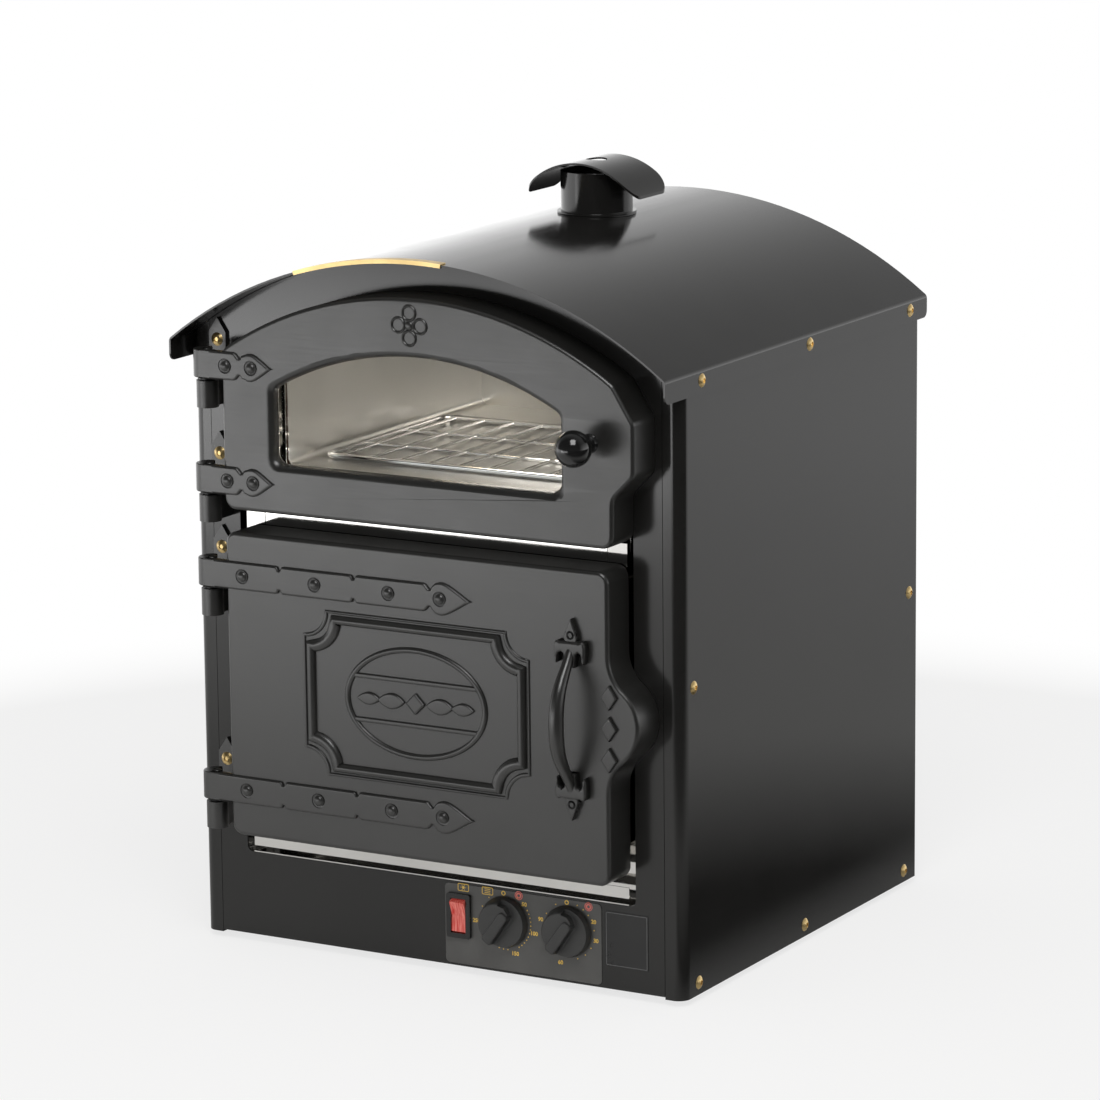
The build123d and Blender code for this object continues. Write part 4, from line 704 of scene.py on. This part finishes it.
class OVEN_OT_ornament(Operator):
    """Cartouche, oval, lozenges and rosette cast on the doors"""

    bl_idname = "oven.ornament"
    bl_label = "Cast ornament"

    def execute(self, context):
        width = context.scene.oven_sizes.moulding_width / MM
        half_width, half_height, scoop = 102.5, 66, 22
        inner = scooped(half_width - width / 2, half_height - width / 2, scoop + width * 0.1)
        outer = scooped(half_width + 0.9, half_height + 0.9, scoop - 1)
        oval = ellipse(CARTOUCHE_X, CARTOUCHE_Z, 63.6, 43.4)
        for name, line, section in (("cartouche_moulding", inner, half_round(width, 4.4)),
                                    ("cartouche_step", outer, half_round(3.6, 1.3)),
                                    ("oval_ring", oval, half_round(5, 2.3))):
            placed(moulding(name, line, section), "lower_door", "cast_black")
        for name, shells in (("oval_bars", self.bars), ("oval_ornament", self.scrolls),
                             ("lobe_lozenges", self.lozenges)):
            placed(joined(name, shells()), "lower_door", "cast_black")
        placed(joined("rosette", self.rosette()), "upper_door", "cast_black")
        return {"FINISHED"}

    def bars(self):
        """Two straight bars across the oval."""
        shells = []
        for rise in (-18, 18):
            half, z = 62.5 * math.sqrt(1 - (rise / 43) ** 2), CARTOUCHE_Z + rise
            bar = rectangle(CARTOUCHE_X - half, z - 2, CARTOUCHE_X + half, z + 2)
            shells.append(raised("bar", bar, 1.8, 1.3))
        return shells

    def scrolls(self):
        """Plain leaf and dart ornament across the middle of the oval."""
        x, z = CARTOUCHE_X, CARTOUCHE_Z
        shells = []
        for side in (-1, 1):
            for start, reach, rise in ((10, 25, 6.5), (33, 21, 5.2)):
                leaf = [(x + side * (start + reach * i / 16), z + rise * math.sin(math.pi * i / 16) ** 0.8)
                        for i in range(17)]
                leaf += [(across, 2 * z - up) for across, up in reversed(leaf[1:-1])]
                shells.append(raised("leaf", leaf if side < 0 else leaf[::-1], 2.4, 1.5))
        dart = rounded([(x + 9, z, 1), (x, z + 9, 1), (x - 9, z, 1), (x, z - 9, 1)], 3)
        return shells + [raised("dart", dart, 2.6, 1.6)]

    def lozenges(self):
        """Three lozenges down the oven door's lobe."""
        x, half_width, half_height = LOBE_X, 7, 10
        return [raised("lozenge", [(x, z + half_height), (x - half_width, z), (x, z - half_height),
                                   (x + half_width, z)], 3.2, 1.2) for z in (204.5, 229.5, 254.5)]

    def rosette(self):
        """Round boss with four rings about it."""
        x, z = UPPER_X - 2, 534
        boss = [(0, 1.6), (1.8, 1.5), (3.2, 0.9), (3.9, 0), (3.9, -1), (0, -1)]
        ring = [(4.6, 0), (5, 0.9), (5.8, 1.3), (6.6, 0.9), (7, 0), (7, -1), (4.6, -1), (4.6, 0)]
        shells = [lathe("boss", boss, (x, DOOR_FACE, z), 24)]
        for turn in (0, 90, 180, 270):
            across, up = polar(x, z, 10, turn)
            shells.append(lathe("ring", ring, (across, DOOR_FACE, up), 24))
        return shells


# ---- handle and knobs
class OVEN_OT_handle(Operator):
    """Bow handle with its ornamental feet"""

    bl_idname = "oven.handle"
    bl_label = "Bow handle"

    def execute(self, context):
        # right half of a foot, and of the thinner plate under it that ends in a finial
        foot = [(6.2, 63), (8.2, 62.6), (10.8, 63.8), (12.8, 62.8), (13.7, 59.5), (13.8, 54), (13.3, 48.5),
                (12.1, 45.4), (10.9, 46.6), (10.6, 50.4), (9.7, 53.6), (7.6, 55), (5.6, 53.6), (4.8, 50),
                (4.4, 46), (4, 42.5)]
        finial = [(0, 81), (2.2, 76), (4.4, 70), (5.9, 65.4), (5.2, 63.4), *foot[1:]]
        shells = []
        for side in (-1, 1):
            for half, front, soft in ((finial, 5.5, 1.1), (foot, 8, 1.8)):
                right = [(HANDLE_X + x, HANDLE_Z + side * z) for x, z in half]
                left = [(HANDLE_X - x, HANDLE_Z + side * z) for x, z in reversed(half) if x > 0]
                plate = slab("foot", [right + left], DOOR_FACE - front, DOOR_FACE + 6, soft, 4)
                cut_behind(plate, DOOR_FACE - 0.02)
                shells.append(plate)
        # upper half of the bow: how far it stands out, its height above the middle and its radius
        thick, reach = context.scene.oven_sizes.grip_thickness / MM / 2, 28.5
        bow = [(3.4, 58, 4.2), (5, 54, 4), (10.5, 45, 4.2), (reach * 0.86, 28, thick * 0.9),
               (reach + 0.3, 9, thick)]
        bow += [(out, -rise, radius) for out, rise, radius in reversed(bow)]
        shells.append(tube("bow", [(HANDLE_X, DOOR_FACE - out, HANDLE_Z + rise) for out, rise, _ in bow],
                           [radius for _, _, radius in bow]))
        handle = joined("oven_door_handle", shells)
        cut_behind(handle, DOOR_FACE - 0.02)
        placed(handle, "lower_door", "cast_black", "lower_door_handle")
        return {"FINISHED"}


class OVEN_OT_ball_knob(Operator):
    """Ball knob of the display door"""

    bl_idname = "oven.ball_knob"
    bl_label = "Ball knob"

    def execute(self, context):
        centre = (163, DOOR_FACE, 454)
        radius, stand = 14.5, 25
        profile = [(0, stand + radius)]
        profile += [(radius * math.sin(math.radians(a)), stand + radius * math.cos(math.radians(a)))
                    for a in range(6, 150, 6)]
        profile += [(6.2, 11), (5.8, 8), (5.8, 4), (6.4, 1.6), (7.6, 0.7), (7.8, 0.05), (0, 0.05)]
        stud = [(0, 0.04), (3, 0.04), (3, -8.1), (6.5, -8.1), (6.5, -12), (3, -12), (3, -14), (0, -14)]
        shells = [lathe("ball", profile, centre, 64), lathe("stud", stud, centre, 24)]
        placed(joined("display_door_knob", shells), "upper_door", "gloss_black", "upper_door_knob")
        return {"FINISHED"}


class OVEN_OT_control_knobs(Operator):
    """Thermostat and timer knobs with their bar grips"""

    bl_idname = "oven.control_knobs"
    bl_label = "Control knobs"

    def execute(self, context):
        profile = [(0, 12.6), (16.2, 12.6), (17.4, 12.3), (18.1, 11.5), (18.6, 9.6), (20.4, 3.6), (21, 2.4),
                   (21, 0.3), (20.7, 0), (3.1, 0), (3.1, 7.5), (0, 7.5)]
        # the right half of the face is cut lower, which leaves the bar standing
        hollow = [(-22, -4.6), (9, -4.6), (13.5, -1.5), (15.5, 3.5), (13.5, 9), (24, 16), (24, -24),
                  (-22, -24)]
        bar = rounded([(12, 4.2, 3), (-18.6, 5.2, 3), (-18.6, -4.6, 2), (12, -4.6, 2.5)], 6)
        for prefix, x in (("thermostat", THERMOSTAT_X), ("timer", TIMER_X)):
            dial = lathe("dial", profile, (x, -1.6, KNOB_Z), 96)
            cut_out(dial, slab("hollow", [self.turned(hollow, x)], -16, -7.6, 1))
            grip = slab("grip", [self.turned(bar, x)], -16.6, -5, 1.4, 4)
            knob = joined(f"{prefix}_dial_knob", [settle(dial), grip])
            placed(knob, f"{prefix}_control", "gloss_black", f"{prefix}_knob")
            dress(knob, "knob_black")
        return {"FINISHED"}

    def turned(self, points, x):
        """Points given along and across a knob's bar, turned about the knob's centre."""
        turn = Matrix.Rotation(math.radians(55), 2)
        return [tuple(Vector((x, KNOB_Z)) + turn @ Vector(point)) for point in points]


# ---- cabinet
class OVEN_OT_cabinet(Operator):
    """Sheet-metal pieces of the cabinet with softened edges"""

    bl_idname = "oven.cabinet"
    bl_label = "Cabinet"

    def execute(self, context):
        for slot_name, width, *nodes in (
            ("black_coat", 0.35, "right_side_panel", "left_side_panel", "roof_sheet", "flue_cowl"),
            ("black_coat", 0.3, "flue_pipe"), ("black_coat", 0.35, "fascia"),
            ("cast_black", 0.9, "hinge_brackets"), ("stainless", 0.25, "door_surround"),
            ("gloss_black", 0.5, "switch_housing"), ("plate", 0.15, "rating_plate"),
            ("label", 0.15, "control_label"),
        ):
            for node in nodes:
                softened(node, width, slot_name)
        placed(joined("rail_with_ends", self.rail()), "cabinet", "stainless", "cross_rail")
        # the polished sill below the oven door and the lip under it
        sill = slab("sill", [rectangle(-175.6, 83, 175.6, 92)], *SHEET)
        lip = slab("lip", [rectangle(-175.6, 77.7, 175.6, 78.5)], 0.1, 1.1)
        placed(joined("polished_sill", [sill, lip]), "cabinet", "stainless")
        # the wool of the oven door, below the casting's top edge
        wool = slab("door_wool", [rectangle(-166, 109, 170, 345, 6)], DOOR_FACE + 6.5, -3.2)
        placed(wool, "lower_door", "wool", "lower_door_insulation")
        return {"FINISHED"}

    def rail(self):
        """The rail's face hangs down behind the oven door and leans back a little above it."""
        half, low, fold, high, top = 158, 345.2, 362.5, 369.6, 370
        lean = slab("lean", [rectangle(-half, fold, half, high)], *SHEET)
        pivot, turn = Vector((0, FASCIA_Y + SHEET[0] * MM, fold * MM)), math.radians(-3.5)
        lean.rotation_euler = (turn, 0, 0)
        lean.location = pivot - Matrix.Rotation(turn, 3, "X") @ pivot
        shells = [settle(lean), slab("face", [rectangle(-half, low, half, fold)], *SHEET),
                  slab("top", [rectangle(-half, 1.7, half, 19.8)], top - 1, top, lying=True)]
        for x in (-158.6, 176):
            shells.append(slab("end", [rectangle(x - 17.4, 346, x, high)], *SHEET))
        return shells


class OVEN_OT_finishes(Operator):
    """Finishes of the nodes that keep their own shape"""

    bl_idname = "oven.finishes"
    bl_label = "Finishes"

    def execute(self, context):
        make_finishes(context.scene.oven_colours)
        own = {"hinge_pins": "door_screws", "display_liner": "chamber"}
        for subpart in frame["record"]["subparts"]:
            node = subpart["node"]
            dress(frame["nodes"][node], own.get(node, subpart["material_slot"]))
        return {"FINISHED"}


# ---- prints on the label
def print_slab(name, loops, finish="gold_print"):
    """A thin raised print on the control label."""
    piece = slab(name, loops, *PRINT)
    dress(piece, finish)
    return piece


def print_text(text, x, z):
    """A plain number printed on the control label."""
    deselect()
    bpy.ops.object.text_add(location=(0, 0, 0))
    piece = bpy.context.object
    letters = piece.data
    letters.body = text
    letters.align_x = letters.align_y = "CENTER"
    letters.size = 4.6 * MM
    letters.extrude = 0.05 * MM
    letters.offset = 0.14 * MM
    letters.resolution_u = 4
    piece = stood_up(meshed(piece), x, -0.63, z)
    dress(piece, "gold_print")
    return piece


def ring_loops(x, z, outer, inner):
    """Outer and inner outlines of a thin ring."""
    return [ellipse(x, z, radius, radius, 28) for radius in (outer, inner)]


def frame_loops(x0, x1, z0, z1, corner, line):
    """Outer and inner outlines of a thin rounded rectangle."""
    return [rectangle(x0 + inset, z0 + inset, x1 - inset, z1 - inset, max(corner - inset, 0.1), 4)
            for inset in (0, line)]


class OVEN_OT_prints(Operator):
    """Numbers, dots and plain pictograms of the control label"""

    bl_idname = "oven.prints"
    bl_label = "Control prints"

    def execute(self, context):
        gold = joined("control_gold_prints", self.numbers() + self.dots() + self.pictograms())
        red = [print_slab("sign", ring_loops(x, z, *radii), "red_print")
               for x, z in ((75.6, 73), (139.5, 72.2)) for radii in ((3.6, 3), (2.5, 1.2))]
        for piece in (gold, joined("control_red_prints", red)):
            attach(piece, "cabinet")
        border = slab("rating_plate_border", frame_loops(155.3, 192.2, 26.8, 70.2, 0.8, 0.35), -0.58, -0.45)
        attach(border, "cabinet")
        dress(border, "grey_print")
        return {"FINISHED"}

    def numbers(self):
        """Plain numbers of both scales."""
        return [print_text(*number) for number in (
            ("50", 80.6, 66.2), ("100", 89.4, 43.2), ("150", 71.8, 24.2), ("250", 36, 47.1),
            ("20", 144, 60.2), ("30", 146, 44.8), ("60", 113.5, 22.8), ("90", 95.6, 56))]

    def dots(self):
        """Dots of both scales and the ring at each zero."""
        reach, shells = 23.4, []
        for centre, ticks in ((THERMOSTAT_X, (62, *range(30, -66, -8), -85, -95, -105, 155, 130)),
                              (TIMER_X, (70, 55, 40, 8, -30, -50, -70, -125, -150, 150, 120))):
            for tick in ticks:
                dot = ellipse(*polar(centre, KNOB_Z, reach, tick), 0.55, 0.55, 10)
                shells.append(print_slab("dot", [dot]))
        return shells + [print_slab("zero", ring_loops(x, 73.2, 2, 1.1)) for x in (61.5, 119.6)]

    def pictograms(self):
        """A lamp with its rays and three bars of heat, each in a small frame."""
        lamp_x, heat_x, z = 24.2, 46.7, 73.1
        shells = [print_slab("frame", frame_loops(x - 5.2, x + 5.2, z - 3.2, z + 3.2, 1.2, 0.6))
                  for x in (lamp_x, heat_x)]
        shells.append(print_slab("lamp_sign", [ellipse(lamp_x, z, 1.3, 1.3, 16)]))
        for turn in range(0, 360, 60):
            shells.append(print_slab("ray", [ellipse(*polar(lamp_x, z, 2.2, turn), 0.38, 0.38, 8)]))
        for rise in (-1.5, 0, 1.5):
            bar = rectangle(heat_x - 2.7, z + rise - 0.3, heat_x + 2.7, z + rise + 0.3)
            shells.append(print_slab("heat", [bar]))
        return shells


# ---- stage
def add_world(ambient):
    """White for the camera; for reflections white behind, darker higher up and dark at the front."""
    world = bpy.data.worlds.new("Studio")
    bpy.context.scene.world = world
    world.use_nodes = True
    tree = world.node_tree
    tree.nodes.clear()
    rays = add_node(tree, "LightPath").outputs
    place = add_node(tree, "TexCoord").outputs["Generated"]
    axes = add_node(tree, "SeparateXYZ", {0: place}).outputs
    height = ranged(tree, axes["Z"], 0.22, 0.5, 1.0, 0.3)
    low = ranged(tree, axes["Z"], 0.0, 0.2, 1.7, 1.0)
    behind = ranged(tree, axes["Y"], -0.35, 0.15, 0.05, 1.0)
    mirrored = maths(tree, "MULTIPLY", maths(tree, "MULTIPLY", low, height), behind)
    # a Mix node of floats takes its share at 0 and its two values at 2 and 3
    unseen = add_node(tree, "Mix", {0: rays["Is Glossy Ray"], 2: ambient, 3: mirrored}, data_type="FLOAT")
    seen = maths(tree, "MAXIMUM", rays["Is Camera Ray"], rays["Is Transmission Ray"])
    strength = add_node(tree, "Mix", {0: seen, 2: unseen.outputs[0], 3: 1.0}, data_type="FLOAT")
    background = add_node(tree, "Background", {"Color": (1, 1, 1, 1), "Strength": strength.outputs[0]})
    add_node(tree, "OutputWorld", {"Surface": background.outputs[0]})


def floor_material():
    """Pale paper that fades to white away from the oven; reflections see painted shade on it, dark grey to
    one side, and painted light far off, brighter to the left.
    """
    material, tree = new_material("Studio paper")
    tree.nodes.clear()
    rays = add_node(tree, "LightPath").outputs
    place = add_node(tree, "TexCoord").outputs["Object"]
    along_x = add_node(tree, "SeparateXYZ", {0: place}).outputs["X"]
    length = add_node(tree, "VectorMath", {0: place}, operation="LENGTH").outputs["Value"]
    facing = add_node(tree, "VectorMath", {0: place, 1: (0.72, -0.69, 0.0)}, operation="DOT_PRODUCT")
    # painted shade: reflections see the paper dark grey beside the cabinet, deeper where its side mirrors it
    side = ranged(tree, facing.outputs["Value"], 0.5, 0.95)
    shade = maths(tree, "MULTIPLY", ranged(tree, along_x, 0.2, 0.3), ranged(tree, length, 0.85, 0.4))
    darker = maths(tree, "MAXIMUM", side, shade)
    painted_shade_in_reflections = maths(tree, "MULTIPLY", darker, rays["Is Glossy Ray"])
    paper = add_node(tree, "BsdfDiffuse", {"Color": (0.93, 0.925, 0.91, 1)}).outputs[0]
    # painted shade: the dark grey that stands for the paper in shaded reflections
    grey = add_node(tree, "BsdfDiffuse", {"Color": (0.03, 0.03, 0.03, 1)}).outputs[0]
    near = blended(tree, painted_shade_in_reflections, paper, grey)
    # painted light: far away, reflections see the paper as an emission, brighter to the left, in place of
    # light falling on it
    clear = maths(tree, "SUBTRACT", 1.0, darker)
    distant = maths(tree, "MULTIPLY", ranged(tree, length, 0.9, 2.4), clear)
    mirrored = maths(tree, "MULTIPLY", distant, rays["Is Glossy Ray"])
    painted_glow_in_reflections = add_node(tree, "Emission", {"Strength": ranged(tree, along_x, -0.3, 0.6, 1.8, 0.75)}).outputs[0]
    # reflections get the painted light far off and the painted shade near
    with_painted_light = blended(tree, mirrored, near, painted_glow_in_reflections)
    # the camera sees it fade to white
    fade = ranged(tree, length, 0.42, 1.15, interpolation_type="SMOOTHSTEP")
    white = maths(tree, "MULTIPLY", maths(tree, "MAXIMUM", fade, 0.75), rays["Is Camera Ray"])
    final = blended(tree, white, with_painted_light, add_node(tree, "Emission").outputs[0])
    add_node(tree, "OutputMaterial", {"Surface": final})
    return material


def soft_light(name, place, target, width, height, radiance, colour=(1, 1, 1)):
    """A rectangular soft light, aimed at a target, whose face is as bright as radiance."""
    light = bpy.data.lights.new(name, "AREA")
    light.shape = "RECTANGLE"
    light.size, light.size_y = width, height
    light.energy = radiance * 4 * width * height
    light.color = colour
    lamp = bpy.data.objects.new(name, light)
    bpy.context.scene.collection.objects.link(lamp)
    lamp.location = place
    lamp.rotation_euler = (Vector(target) - Vector(place)).to_track_quat("-Z", "Y").to_euler()
    lamp.visible_camera = False


class OVEN_OT_stage(Operator):
    """Camera, floor, lights and the white room"""

    bl_idname = "oven.stage"
    bl_label = "Stage"

    def execute(self, context):
        settings = context.scene.oven_stage
        camera = bpy.data.cameras.new("Camera")
        camera.sensor_width = 36.0
        camera.lens = settings.lens
        camera.clip_end = 50.0
        seat = bpy.data.objects.new("Camera", camera)
        context.scene.collection.objects.link(seat)
        turn = Euler((math.pi / 2 - settings.elevation, 0, settings.azimuth)).to_matrix()
        turn = turn @ Matrix.Rotation(settings.roll, 3, "Z")
        seat.matrix_world = Matrix.Translation(CAMERA_PLACE) @ turn.to_4x4()
        context.scene.camera = seat
        deselect()
        bpy.ops.mesh.primitive_plane_add(size=40.0, location=(0, 0, 0))
        floor = context.object
        floor.name = "studio_floor"
        floor.data.materials.append(floor_material())
        add_world(settings.ambient)
        soft_light("Key", (-0.75, -1.9, 0.15), (0, -0.2, 0.2), 1.7, 0.3, settings.key_strength)
        soft_light("Overhead", (0.69, -1.23, 2.0), (0, 0, 0.35), 0.9, 1.1, 4.5)
        soft_light("Chamber", (-0.03, -0.03, 0.525), (-0.03, -0.02, 0.3), 0.2, 0.16, 6.0, (1.0, 0.94, 0.86))
        context.scene.view_settings.view_transform = "Standard"
        return {"FINISHED"}


class OVEN_PT_panel(Panel):
    """Lists the oven's pieces"""

    bl_label = "Baked potato oven"
    bl_idname = "OVEN_PT_panel"
    bl_space_type = "VIEW_3D"
    bl_region_type = "UI"
    bl_category = "Oven"

    def draw(self, context):
        for group in GROUPS:
            settings = getattr(context.scene, group)
            for name in settings.__annotations__:
                self.layout.prop(settings, name)
        for operator in OPERATORS:
            self.layout.operator(operator.bl_idname)


GROUPS = {"oven_sizes": OvenSizes, "oven_colours": OvenColours, "oven_stage": OvenStageSettings}
OPERATORS = (OVEN_OT_finishes, OVEN_OT_cabinet, OVEN_OT_lower_door, OVEN_OT_upper_door, OVEN_OT_straps,
             OVEN_OT_ornament, OVEN_OT_handle, OVEN_OT_ball_knob, OVEN_OT_control_knobs, OVEN_OT_prints,
             OVEN_OT_stage)


def register():
    """Adds the settings, operators and panel."""
    for name, group in GROUPS.items():
        bpy.utils.register_class(group)
        setattr(bpy.types.Scene, name, PointerProperty(type=group))
    for item in (*OPERATORS, OVEN_PT_panel):
        bpy.utils.register_class(item)


def unregister():
    """Takes them away again."""
    for item in reversed((*OPERATORS, OVEN_PT_panel)):
        bpy.utils.unregister_class(item)
    for name, group in GROUPS.items():
        delattr(bpy.types.Scene, name)
        bpy.utils.unregister_class(group)


def main():
    """Builds everything in order."""
    register()
    for operator in OPERATORS:
        group, action = operator.bl_idname.split(".")
        getattr(getattr(bpy.ops, group), action)()


if __name__ == "__main__":
    main()
